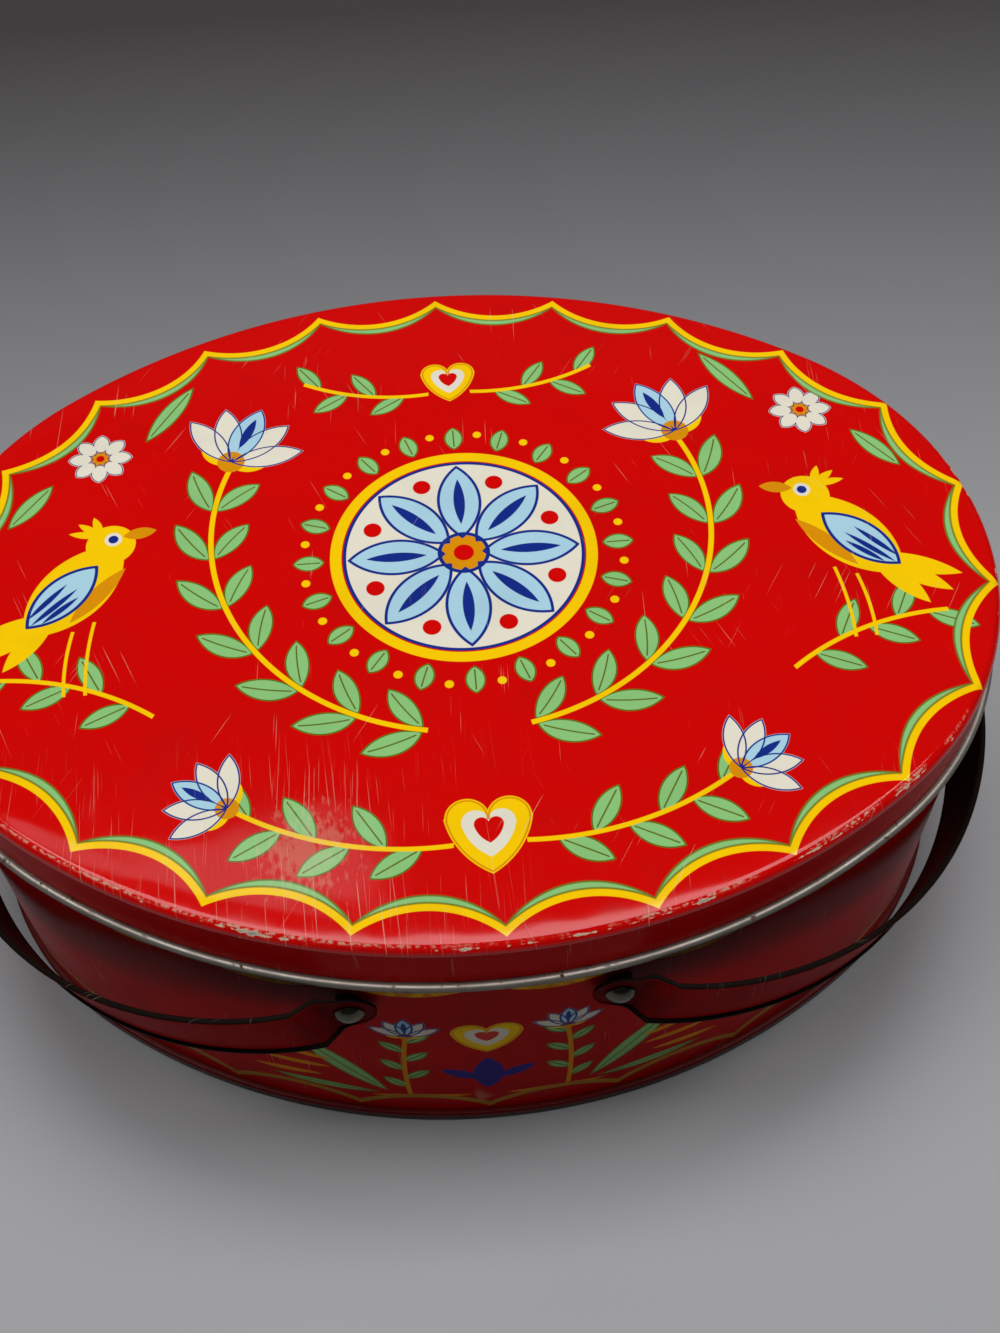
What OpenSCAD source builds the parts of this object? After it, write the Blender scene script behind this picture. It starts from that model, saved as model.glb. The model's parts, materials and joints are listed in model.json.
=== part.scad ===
// Oval sewing tin with a slip-over lid and two swinging strap handles.
// Millimetres. X runs along the tin, Y across it and Z up. The origin is the
// middle of the oval on the plane that the bottom rim stands on.

/* [Tin body] */
// Length of the body over its wall
body_len = 318; // [260:1:400]
// Width of the body over its wall
body_wid = 240; // [200:1:255]
// Height of the body from the floor to its rolled top edge
body_h = 119.4; // [90:0.1:180]
// Thickness of the tinplate
sheet = 0.4; // [0.3:0.05:0.8]
// Width of the folded seam inside the left end of the wall
side_seam_w = 6; // [4:0.5:10]
// Depth of the folded seam
side_seam_t = 0.8; // [0.4:0.1:1.5]

/* [Bottom] */
// Height of the seamed rim round the bottom
rim_h = 4.6; // [3:0.1:8]
// How far the rim stands out from the wall
rim_proud = 1.8; // [1.2:0.1:3]
// Radius of the rim's outer corners
rim_round = 0.7; // [0.3:0.1:1]
// Height of the recessed bottom panel above the floor
bottom_recess = 3.6; // [2:0.1:8]

/* [Lid] */
// Depth of the lid from its top to its rolled edge
lid_depth = 21; // [14:0.5:40]
// Radius of the shoulder between the top and the skirt
shoulder_r = 3; // [2:0.25:6]
// Diameter of the rolled edge
lid_curl_d = 2.6; // [2.2:0.1:4]
// Gap left where the rolled edge closes on the skirt
curl_crease = 0.15; // [0.1:0.05:0.3]

/* [Handles] */
// Width of a strap between the middles of its rolled edges
strap_w = 22; // [16:0.5:30]
// Thickness of a strap
strap_t = 0.7; // [0.5:0.05:1.2]
// Height of the strap's middle line above the pivot
strap_rise = 2.5; // [-2:0.5:4]
// Diameter of a strap's rolled edges
strap_curl_d = 1.8; // [1.4:0.1:3]
// Radius of the bend at each corner of the loop
corner_r = 90; // [70:1:100]
// Angle that a handle hangs down at rest
droop = 16; // [8:0.5:22]

/* [Pivots] */
// Distance of each pivot from the middle of the tin
pivot_x = 36.5; // [32:0.5:46]
// Distance of the pivots below the lid's rolled edge
pivot_drop = 12.5; // [12:0.5:24]
// Radius of an ear's round tip
ear_r = 7.5; // [6:0.25:9]
// Flat length of an ear from its pivot
ear_flat = 5.25; // [5:0.25:7]
// Length of the bend that carries the strap out past the lid
joggle_run = 5; // [5:0.25:8]
// Distance from that bend to the start of the corner
side_run = 1.5; // [1:0.5:6]
// Stand-off of an ear from the wall at the pivot
ear_stand = 3.2; // [2.5:0.1:4]
// Diameter of a rivet's shank
shank_d = 4; // [3:0.1:5]
// Diameter of a rivet's outer head
head_d = 8.4; // [7:0.1:10]
// Height of a rivet's outer head
head_h = 2.4; // [1.6:0.1:3]
// Height of the straight edge under the dome of a head
head_edge = 0.5; // [0.2:0.1:1]
// Diameter of the spread tail inside the tin
tail_d = 6.4; // [5:0.1:8]
// Height of the spread tail
tail_h = 1.6; // [1:0.1:3]
// Diameter of the washer between an ear and the wall
spacer_d = 7.6; // [7:0.1:10]
// Diameter of the backing washer inside the tin
backing_d = 9; // [7.5:0.1:12]
// Thickness of the backing washer at the pivot
backing_t = 1.4; // [1.2:0.1:2]

/* [Clearances] */
// Gap between the lid's skirt and the wall
lid_gap = 0.4; // [0.2:0.05:0.8]
// Gap between the lid's panel and the body's top edge
lid_rest_gap = 0.2; // [0.1:0.05:0.3]
// Gap in the folds of the bottom seam
seam_gap = 0.05; // [0.02:0.01:0.15]
// Gap between a raised strap and the widest part of the lid
strap_pass = 0.6; // [0.3:0.1:3]
// Gap between a hanging loop and the end of the tin
hang_gap = 0.3; // [0.2:0.1:1]
// Radial running clearance of an ear on its rivet
pivot_clear = 0.06; // [0.02:0.01:0.1]
// Side clearance of an ear between its spacer and head
ear_clear = 0.15; // [0.1:0.05:0.3]
// Clearance of the pieces fixed to the wall
seat_gap = 0.02; // [0.01:0.01:0.05]

/* [Hidden] */
$fn = 96;
arc_fn = 720;

// The oval is the four-centre oval of its length and width: two end arcs and
// two side arcs that meet in line. u is the distance outwards from the wall.
half_len = body_len / 2;
half_wid = body_wid / 2;
corner_span = sqrt(half_len * half_len + half_wid * half_wid);
end_r = corner_span * (corner_span - half_len + half_wid) / (2 * half_len);
side_r = corner_span * (corner_span + half_len - half_wid) / (2 * half_wid);
end_x = half_len - end_r;
side_y = side_r - half_wid;
join_angle = atan2(side_y, end_x);
join_x = end_x + end_r * cos(join_angle);
join_y = end_r * sin(join_angle);
overrun = 1;

// Lid and rolled edges
lid_out = lid_gap + sheet;
lid_top = body_h + lid_rest_gap + sheet;
lid_low = lid_top - lid_depth;
lid_curl_r = lid_curl_d / 2;
lid_reach = lid_gap + lid_curl_d;
shoulder_u = lid_out - shoulder_r;
shoulder_z = lid_top - shoulder_r;
hem_r = shoulder_r - lid_out;
hem_z = body_h - hem_r;

// Bottom seam
leg_out = -sheet - seam_gap;
leg_in = leg_out - sheet;

// Pivots and strap, with y measured from the middle of the tin
pivot_z = lid_low - pivot_drop;
wall_y = side_line(0, pivot_x);
wall_in_y = side_line(-sheet, pivot_x);
ear_y = wall_y + ear_stand;
head_y = ear_y + strap_t + ear_clear;
spacer_y = ear_y - ear_clear;
backing_y = wall_in_y - backing_t;
strap_y = half_wid + lid_reach + strap_pass + strap_t / 2;
strap_curl_r = strap_curl_d / 2;
strap_low = strap_rise - strap_w / 2;
strap_high = strap_rise + strap_w / 2;
curl_off = strap_t / 2;
joggle_x = ear_flat + joggle_run;
corner_x = joggle_x + side_run;
strap_start = asin((side_run + strap_t) / corner_r);

// Loop of a handle in its own level frame, with the pivot at the origin. It
// reaches far enough to hang with its lower edge just off the end of the tin.
hang_x = half_len + hang_gap + strap_curl_r - pivot_x;
reach = (hang_x - strap_low * sin(droop)) / cos(droop) - curl_off;
corner_y = strap_y - corner_r;
tip_extra = reach - corner_x - corner_r;
bow = (tip_extra * tip_extra + corner_y * corner_y) / (2 * tip_extra);
bow_r = corner_r + bow;
bow_x = reach - bow_r;
bow_angle = atan2(corner_y, corner_x - bow_x);

// Distance from the middle of the tin to the side arc at u, x along the tin
function side_line(u, x) = sqrt(pow(side_r + u, 2) - x * x) - side_y;

// Points of a round corner of radius r about c, from angle a to angle b
function round_corner(c, r, a, b, steps = 4) =
    [for (i = [0 : steps]) let (t = a + (b - a) * i / steps) c + r * [cos(t), sin(t)]];

// Carries a (u, z) section round the oval: each quarter is half an end arc and
// half a side arc, turned from the line where they join, and cut at the middle
// planes. A section that runs in to the middle of the oval goes in by $depth.
module oval_sweep() {
    end_turn = join_angle + overrun;
    side_turn = 90 - join_angle + overrun;
    for (flip_x = [0, 1], flip_y = [0, 1])
        mirror([flip_x, 0, 0])
            mirror([0, flip_y, 0])
                intersection() {
                    translate([join_x, join_y, 0])
                        rotate(join_angle) {
                            translate([-end_r, 0, 0])
                                rotate_extrude(angle = end_turn, start = -end_turn)
                                    intersection() {
                                        translate([end_r, 0])
                                            let ($depth = end_r + overrun)
                                                children();
                                        translate([0, -body_h])
                                            square([body_len, 3 * body_h]);
                                    }
                            translate([-side_r, 0, 0])
                                rotate_extrude(angle = side_turn, start = 0)
                                    translate([side_r, 0])
                                        let ($depth = half_wid + overrun)
                                            children();
                        }
                    translate([0, 0, -body_h])
                        cube([body_len, body_wid, 3 * body_h]);
                }
}

// Section of a rolled edge: a tube of sheet centred on the origin
module curl(r) {
    difference() {
        circle(r, $fn = 48);
        circle(r - sheet, $fn = 48);
    }
}

// Round bar along Y at the pivot of one side, from y0 to y1
module pivot_bar(side, y0, y1, d) {
    translate([side * pivot_x, y0, pivot_z])
        rotate([-90, 0, 0])
            cylinder(d = d, h = y1 - y0, $fn = 48);
}

module body_wall() {
    color("firebrick")
        difference() {
            union() {
                oval_sweep() {
                    translate([-sheet, sheet + seam_gap])
                        square([sheet, hem_z - sheet - seam_gap]);
                    translate([-hem_r, hem_z])
                        intersection() {
                            curl(hem_r);
                            translate([-hem_r, 0])
                                square([2 * hem_r, hem_r]);
                        }
                    translate([-hem_r, hem_z])
                        intersection() {
                            curl(hem_r);
                            translate([-hem_r, -hem_r])
                                square([hem_r, hem_r]);
                        }
                }
                side_seam();
            }
            for (side = [-1, 1])
                pivot_bar(side, -body_wid, body_wid, shank_d + 2 * seat_gap);
        }
}

// Folded seam that closes the wall strip, inside the left end. It is rooted in
// half the thickness of the sheet.
module side_seam() {
    seam_angle = side_seam_w / end_r * 180 / PI;
    low_z = bottom_recess + 2 * sheet;
    translate([-end_x, 0, 0])
        rotate(180 - seam_angle / 2)
            rotate_extrude(angle = seam_angle)
                translate([end_r - sheet - side_seam_t, low_z])
                    square([side_seam_t + sheet / 2, hem_z - hem_r - low_z]);
}

module bottom_panel() {
    color("dimgray")
        oval_sweep()
            polygon(concat(
                [[seam_gap, rim_h], [seam_gap, sheet], [leg_out, sheet]],
                [[leg_out, bottom_recess + sheet], [-$depth, bottom_recess + sheet]],
                [[-$depth, bottom_recess], [leg_in, bottom_recess], [leg_in, 0]],
                round_corner([rim_proud - rim_round, rim_round], rim_round, -90, 0),
                round_corner([rim_proud - rim_round, rim_h - rim_round], rim_round, 0, 90)
            ));
}

module lid() {
    color("red")
        oval_sweep() {
            translate([-$depth, lid_top - sheet])
                square([$depth + shoulder_u, sheet]);
            translate([shoulder_u, shoulder_z])
                intersection() {
                    curl(shoulder_r);
                    square(shoulder_r);
                }
            translate([lid_gap, lid_low + lid_curl_r])
                square([sheet, shoulder_z - lid_low - lid_curl_r]);
            translate([lid_gap + lid_curl_r, lid_low + lid_curl_r])
                intersection() {
                    curl(lid_curl_r);
                    translate([-lid_curl_r, -lid_curl_r])
                        square([lid_curl_d, lid_curl_r]);
                }
            translate([lid_gap + lid_curl_r, lid_low + lid_curl_r])
                intersection() {
                    curl(lid_curl_r);
                    translate([sheet + curl_crease - lid_curl_r, 0])
                        square([lid_curl_d, lid_curl_r]);
                }
        }
}

// Section of a strap across its thickness, with a rolled edge at top and bottom
module strap_section() {
    translate([-strap_t / 2, strap_low])
        square([strap_t, strap_w]);
    for (z = [strap_low, strap_high])
        translate([curl_off, z])
            circle(strap_curl_r, $fn = 32);
}

// Ear of a strap: round tip, flat at the pivot, then the bend out to the strap
module ear() {
    ear_mid = ear_y + strap_t / 2;
    half_t = [0, strap_t / 2];
    bend = [joggle_run, strap_y - ear_mid];
    bend_end = [ear_flat, ear_mid] + bend * (1 - strap_t / 2 / bend.y);
    intersection() {
        translate([0, 0, strap_low])
            linear_extrude(strap_w)
                polygon([
                    [-ear_r, ear_mid] - half_t, [ear_flat, ear_mid] - half_t,
                    [ear_flat, ear_mid] + bend - half_t, [ear_flat, ear_mid] + bend,
                    bend_end + half_t, [ear_flat, ear_mid] + half_t, [-ear_r, ear_mid] + half_t
                ]);
        translate([0, strap_y + strap_t, 0])
            rotate([90, 0, 0])
                linear_extrude(strap_y) {
                    circle(ear_r, $fn = 64);
                    polygon([
                        [0, ear_r], [joggle_x, strap_high], [joggle_x + joggle_run, strap_high],
                        [joggle_x + joggle_run, strap_low], [joggle_x, strap_low], [0, -ear_r]
                    ]);
                }
    }
}

// Half of a handle's loop in its level frame, reaching along +X
module half_loop() {
    bow_turn = bow_angle + overrun;
    corner_turn = 90 - bow_angle + strap_start;
    intersection() {
        translate([corner_x, corner_y, 0])
            rotate(bow_angle) {
                rotate_extrude(angle = corner_turn, start = 0)
                    translate([corner_r, 0])
                        strap_section();
                translate([corner_r - bow_r, 0, 0])
                    rotate_extrude(angle = bow_turn, start = -bow_turn)
                        translate([bow_r, 0])
                            strap_section();
            }
        translate([0, 0, -body_h])
            cube([body_len, body_wid, 2 * body_h]);
    }
    ear();
}

// Loop of one handle with the holes for its rivets
module handle_loop() {
    difference() {
        for (flip = [0, 1])
            mirror([0, flip, 0])
                half_loop();
        translate([0, body_wid, 0])
            rotate([90, 0, 0])
                cylinder(d = shank_d + 2 * pivot_clear, h = 2 * body_wid, $fn = 48);
    }
}

// Handle of one side, hanging at rest
module handle(side) {
    color("maroon")
        mirror([side < 0 ? 1 : 0, 0, 0])
            translate([pivot_x, 0, pivot_z])
                rotate([0, droop, 0])
                    handle_loop();
}

// Rivet through an ear, its spacer, the wall and the backing washer
module rivet(side, face) {
    dome_h = head_h - head_edge;
    dome_r = (head_d * head_d / 4 + dome_h * dome_h) / (2 * dome_h);
    color("darkgray")
        mirror([0, face < 0 ? 1 : 0, 0]) {
            pivot_bar(side, backing_y - tail_h / 2, head_y + head_edge / 2, shank_d);
            pivot_bar(side, backing_y - tail_h, backing_y, tail_d);
            translate([side * pivot_x, head_y, pivot_z])
                rotate([-90, 0, 0])
                    rotate_extrude() {
                        square([head_d / 2, head_edge]);
                        translate([0, head_edge])
                            intersection() {
                                translate([0, dome_h - dome_r])
                                    circle(dome_r);
                                square([head_d / 2, dome_h]);
                            }
                    }
        }
}

// Washer that holds an ear off the wall, hollowed to sit on the curve
module spacer(side, face) {
    color("gray")
        mirror([0, face < 0 ? 1 : 0, 0])
            difference() {
                pivot_bar(side, wall_y - ear_stand, spacer_y, spacer_d);
                pivot_bar(side, 0, body_wid, shank_d + 2 * seat_gap);
                translate([0, -side_y, 0])
                    cylinder(r = side_r + seat_gap, h = body_h, $fn = arc_fn);
            }
}

// Washer behind the wall, rounded to the inside of the curve
module backing(side, face) {
    color("gainsboro")
        mirror([0, face < 0 ? 1 : 0, 0])
            difference() {
                intersection() {
                    pivot_bar(side, backing_y, wall_y, backing_d);
                    translate([0, -side_y, 0])
                        cylinder(r = side_r - sheet - seat_gap, h = body_h, $fn = arc_fn);
                }
                pivot_bar(side, 0, body_wid, shank_d + 2 * seat_gap);
            }
}

body_wall();
bottom_panel();
lid();
handle(-1);  // left_handle
handle(1);  // right_handle
rivet(-1, -1);  // rivet_left_front
rivet(-1, 1);  // rivet_left_back
rivet(1, -1);  // rivet_right_front
rivet(1, 1);  // rivet_right_back
spacer(-1, -1);  // spacer_left_front
spacer(-1, 1);  // spacer_left_back
spacer(1, -1);  // spacer_right_front
spacer(1, 1);  // spacer_right_back
backing(-1, -1);  // backing_left_front
backing(-1, 1);  // backing_left_back
backing(1, -1);  // backing_right_front
backing(1, 1);  // backing_right_back
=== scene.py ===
"""Looks of an oval printed sewing tin: shells, handles and rivets, their finishes, and a small studio.

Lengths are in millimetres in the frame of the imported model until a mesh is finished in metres.
"""

import json
import logging
import math
from abc import ABC, abstractmethod
from dataclasses import dataclass
from enum import Enum
from typing import Sequence, Union

import bmesh
import bpy
from mathutils import Matrix, Quaternion, Vector

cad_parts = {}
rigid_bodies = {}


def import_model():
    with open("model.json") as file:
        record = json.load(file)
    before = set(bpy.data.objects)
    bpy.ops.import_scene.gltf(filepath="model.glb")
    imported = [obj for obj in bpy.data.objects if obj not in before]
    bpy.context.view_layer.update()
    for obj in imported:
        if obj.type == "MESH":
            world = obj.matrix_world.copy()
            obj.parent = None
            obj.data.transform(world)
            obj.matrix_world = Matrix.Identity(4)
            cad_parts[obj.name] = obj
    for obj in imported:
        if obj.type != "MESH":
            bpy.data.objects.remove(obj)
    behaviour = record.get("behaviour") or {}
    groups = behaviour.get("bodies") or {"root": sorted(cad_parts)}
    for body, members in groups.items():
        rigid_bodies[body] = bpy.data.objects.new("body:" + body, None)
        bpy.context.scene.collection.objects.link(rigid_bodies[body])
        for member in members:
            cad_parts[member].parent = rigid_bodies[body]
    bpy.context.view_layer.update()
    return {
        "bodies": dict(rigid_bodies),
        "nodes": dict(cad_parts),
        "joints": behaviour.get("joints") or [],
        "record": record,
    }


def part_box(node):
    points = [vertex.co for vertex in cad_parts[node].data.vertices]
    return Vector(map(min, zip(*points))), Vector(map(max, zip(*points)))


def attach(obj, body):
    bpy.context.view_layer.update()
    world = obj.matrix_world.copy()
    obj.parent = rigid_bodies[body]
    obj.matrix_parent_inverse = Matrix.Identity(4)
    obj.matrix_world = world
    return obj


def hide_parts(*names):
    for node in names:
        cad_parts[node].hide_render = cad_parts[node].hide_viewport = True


MM = 0.001
BAKE_MAP = "OFBake"
MERGE = 0.01
FINE_MERGE = 0.005
NOISE_LIFT = 0.7
NOISE_ROUGHNESS = 0.55
EDGE_SOFT = 0.16
GLOSS_IOR = 1.5
log = logging.getLogger("sewing_tin")

Point = tuple[float, float]
Colour = tuple[float, float, float, float]
Number = Union[float, "Value"]


class Side(Enum):
    """End of the tin that a handle hangs on."""

    LEFT = -1
    RIGHT = 1


class Face(Enum):
    """Long side of the tin that an ear is riveted to."""

    FRONT = -1
    BACK = 1


class LidPart(Enum):
    """Part of the lid, numbered as its finishes are."""

    TOP = 0
    SKIRT = 1
    BEAD = 2
    INSIDE = 3


class Coat(Enum):
    """Finish of a face of the wall, the bottom or a handle, numbered as their finishes are."""

    OUTER = 0
    INNER = 1


def linear(red: int, green: int, blue: int) -> Colour:
    """Turns a screen colour into the linear colour that a shader takes, by the sRGB curve.

    Args:
        red: Red from 0 to 255.
        green: Green from 0 to 255.
        blue: Blue from 0 to 255.

    Returns:
        The linear colour with full alpha.
    """
    shares = [c / 255 for c in (red, green, blue)]
    steps = [c / 12.92 if c <= 0.04045 else ((c + 0.055) / 1.055) ** 2.4 for c in shares]
    return (*steps, 1.0)


class Ink(Enum):
    """Printing inks and plain metals, as they look on the tin."""

    RED = linear(205, 5, 3)
    DEEP_RED = linear(168, 4, 4)
    DARK_RED = linear(96, 5, 5)
    YELLOW = linear(244, 198, 4)
    AMBER = linear(214, 140, 8)
    OCHRE = linear(168, 122, 40)
    GREEN = linear(136, 192, 120)
    OLIVE = linear(92, 104, 18)
    WHITE = linear(224, 218, 200)
    PALE_BLUE = linear(166, 205, 222)
    DARK_BLUE = linear(20, 42, 130)
    BLACK = linear(20, 16, 15)
    TIN = linear(196, 188, 178)
    DULL_TIN = linear(128, 122, 112)
    DARK_TIN = linear(92, 90, 80)
    BROWN_TIN = linear(66, 61, 47)
    PRIMER = linear(206, 184, 158)
    RUST = linear(92, 58, 36)


PRINT_ORDER = (
    Ink.GREEN, Ink.OLIVE, Ink.YELLOW, Ink.WHITE, Ink.PALE_BLUE, Ink.AMBER, Ink.DARK_BLUE, Ink.RED,
)


@dataclass(frozen=True)
class Value:
    """A number that varies over a surface. Operators on it add Math nodes."""

    graph: "Graph"
    socket: bpy.types.NodeSocket

    def __add__(self, other: Number) -> "Value":
        """Adds a number."""
        return self.graph.math("ADD", self, other)

    def __radd__(self, other: Number) -> "Value":
        """Adds to a number."""
        return self.graph.math("ADD", other, self)

    def __sub__(self, other: Number) -> "Value":
        """Takes a number away."""
        return self.graph.math("SUBTRACT", self, other)

    def __rsub__(self, other: Number) -> "Value":
        """Takes this from a number."""
        return self.graph.math("SUBTRACT", other, self)

    def __mul__(self, other: Number) -> "Value":
        """Multiplies by a number."""
        return self.graph.math("MULTIPLY", self, other)

    def __rmul__(self, other: Number) -> "Value":
        """Multiplies a number."""
        return self.graph.math("MULTIPLY", other, self)

    def __truediv__(self, other: Number) -> "Value":
        """Divides by a number."""
        return self.graph.math("DIVIDE", self, other)

    def __rtruediv__(self, other: Number) -> "Value":
        """Divides a number by this."""
        return self.graph.math("DIVIDE", other, self)

    def __neg__(self) -> "Value":
        """Changes the sign."""
        return self.graph.math("MULTIPLY", self, -1.0)

    def __abs__(self) -> "Value":
        """Drops the sign."""
        return self.graph.math("ABSOLUTE", self)

    def least(self, other: Number) -> "Value":
        """The smaller of this and a number, which joins two shapes."""
        return self.graph.math("MINIMUM", self, other)

    def most(self, other: Number) -> "Value":
        """The larger of this and a number, which keeps where two shapes meet."""
        return self.graph.math("MAXIMUM", self, other)

    def fold(self, half: float) -> "Value":
        """Runs up to half and back again, over and over."""
        return self.graph.math("PINGPONG", self, half)

    def cosine(self) -> "Value":
        """Cosine of an angle in radians."""
        return self.graph.math("COSINE", self)

    def sine(self) -> "Value":
        """Sine of an angle in radians."""
        return self.graph.math("SINE", self)

    def above(self, level: float, soft: float) -> "Value":
        """Rises from 0 to 1 as this passes a level.

        Args:
            level: Where the rise is half way.
            soft: Width of the rise.

        Returns:
            The share, from 0 to 1.
        """
        scale = 1 / soft
        return self.graph.math("MULTIPLY_ADD", self, scale, 0.5 - level * scale, clamp=True)

    def inside(self, soft: float = EDGE_SOFT) -> "Value":
        """Share of ink where this is the distance to the edge of a shape, negative inside it."""
        return self.above(0.0, -soft)


class Graph:
    """Node tree of one material."""

    def __init__(self, name: str) -> None:
        """Starts an empty material.

        Args:
            name: Name of the material.
        """
        self.material = bpy.data.materials.new(name)
        self.material.use_nodes = True
        self.tree = self.material.node_tree
        self.tree.nodes.clear()

    def node(self, kind: str, settings: dict[str, object],
             sockets: dict[object, object]) -> bpy.types.Node:
        """Adds a node.

        Args:
            kind: Blender's name for the type of node.
            settings: Its own settings, set first.
            sockets: Values or links of its inputs, by name or number.

        Returns:
            The new node.
        """
        made = self.tree.nodes.new(kind)
        for key, value in settings.items():
            setattr(made, key, value)
        for key, value in sockets.items():
            self.feed(made.inputs[key], value)
        return made

    def feed(self, socket: bpy.types.NodeSocket, value: object) -> None:
        """Links or sets one input.

        Args:
            socket: The input.
            value: A Value, a socket, an Ink or a plain number, colour or vector.
        """
        if isinstance(value, Value):
            value = value.socket
        if isinstance(value, bpy.types.NodeSocket):
            self.tree.links.new(value, socket)
            return
        socket.default_value = value.value if isinstance(value, Ink) else value

    def math(self, operation: str, *operands: Number, clamp: bool = False) -> Value:
        """Adds a Math node.

        Args:
            operation: Blender's name for the operation.
            operands: Its inputs in order.
            clamp: Whether the result stays between 0 and 1.

        Returns:
            The result.
        """
        made = self.node(
            "ShaderNodeMath", {"operation": operation, "use_clamp": clamp}, dict(enumerate(operands))
        )
        return Value(self, made.outputs[0])

    def mix(self, share: Number, under: object, over: object) -> bpy.types.NodeSocket:
        """Mixes two colours.

        Args:
            share: How much of the upper colour shows.
            under: Colour below.
            over: Colour above.

        Returns:
            The mixed colour.
        """
        settings = {"data_type": "RGBA", "clamp_factor": True}
        return self.node("ShaderNodeMix", settings, {0: share, 6: under, 7: over}).outputs[2]

    def vector(self, operation: str, *operands: object) -> bpy.types.Node:
        """Adds a Vector Math node with those inputs."""
        return self.node("ShaderNodeVectorMath", {"operation": operation}, dict(enumerate(operands)))

    def place(self) -> "Place":
        """Reads the place on the object.

        Returns:
            The place in millimetres, in the frame of the tin.
        """
        coords = self.node("ShaderNodeTexCoord", {}, {}).outputs["Object"]
        scaled = self.vector("MULTIPLY", coords, (1 / MM,) * 3).outputs[0]
        parts = self.node("ShaderNodeSeparateXYZ", {}, {0: scaled})
        x, y, z = (Value(self, parts.outputs[i]) for i in range(3))
        return Place(self, x, y, z, scaled)

    def noise(self, where: object, size: float, detail: float = 3.0,
              stretch: Sequence[float] = (1, 1, 1), turn: float = 0.0, offset: float = 0.0) -> Value:
        """Adds a noise.

        Args:
            where: Vector in millimetres.
            size: Size of a blotch in millimetres.
            detail: Octaves of finer noise.
            stretch: How much longer a blotch is along each axis.
            turn: Turn about Z in radians, before the stretch.
            offset: Shift that gives another pattern.

        Returns:
            The noise, about 0.5 in the middle.
        """
        scale = [1 / (size * s) for s in stretch]
        turned = self.node(
            "ShaderNodeVectorRotate", {"rotation_type": "Z_AXIS"}, {"Vector": where, "Angle": turn}
        ).outputs[0]
        shift = (offset, -offset, NOISE_LIFT * offset)
        shifted = self.node(
            "ShaderNodeMapping", {}, {"Vector": turned, "Location": shift, "Scale": scale}
        ).outputs[0]
        sockets = {"Vector": shifted, "Scale": 1.0, "Detail": detail, "Roughness": NOISE_ROUGHNESS}
        return Value(self, self.node("ShaderNodeTexNoise", {}, sockets).outputs[0])

    def finish(self, constants: dict[str, object], varied: dict[str, object],
               bump: Value | None = None, depth: float = 0.1) -> bpy.types.Material:
        """Ends the material in one shader.

        Args:
            constants: Inputs of the shader that are the same all over.
            varied: Inputs that vary.
            bump: Height that the bump follows, if any.
            depth: Depth of the bump in millimetres for a height of 1.

        Returns:
            The material.
        """
        shader = self.node("ShaderNodeBsdfPrincipled", {}, {**constants, **varied})
        if bump is not None:
            sockets = {"Height": bump, "Distance": depth * MM, "Strength": 1.0}
            relief = self.node("ShaderNodeBump", {}, sockets)
            self.feed(shader.inputs["Normal"], relief.outputs[0])
        self.node("ShaderNodeOutputMaterial", {}, {"Surface": shader.outputs[0]})
        return self.material


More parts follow.
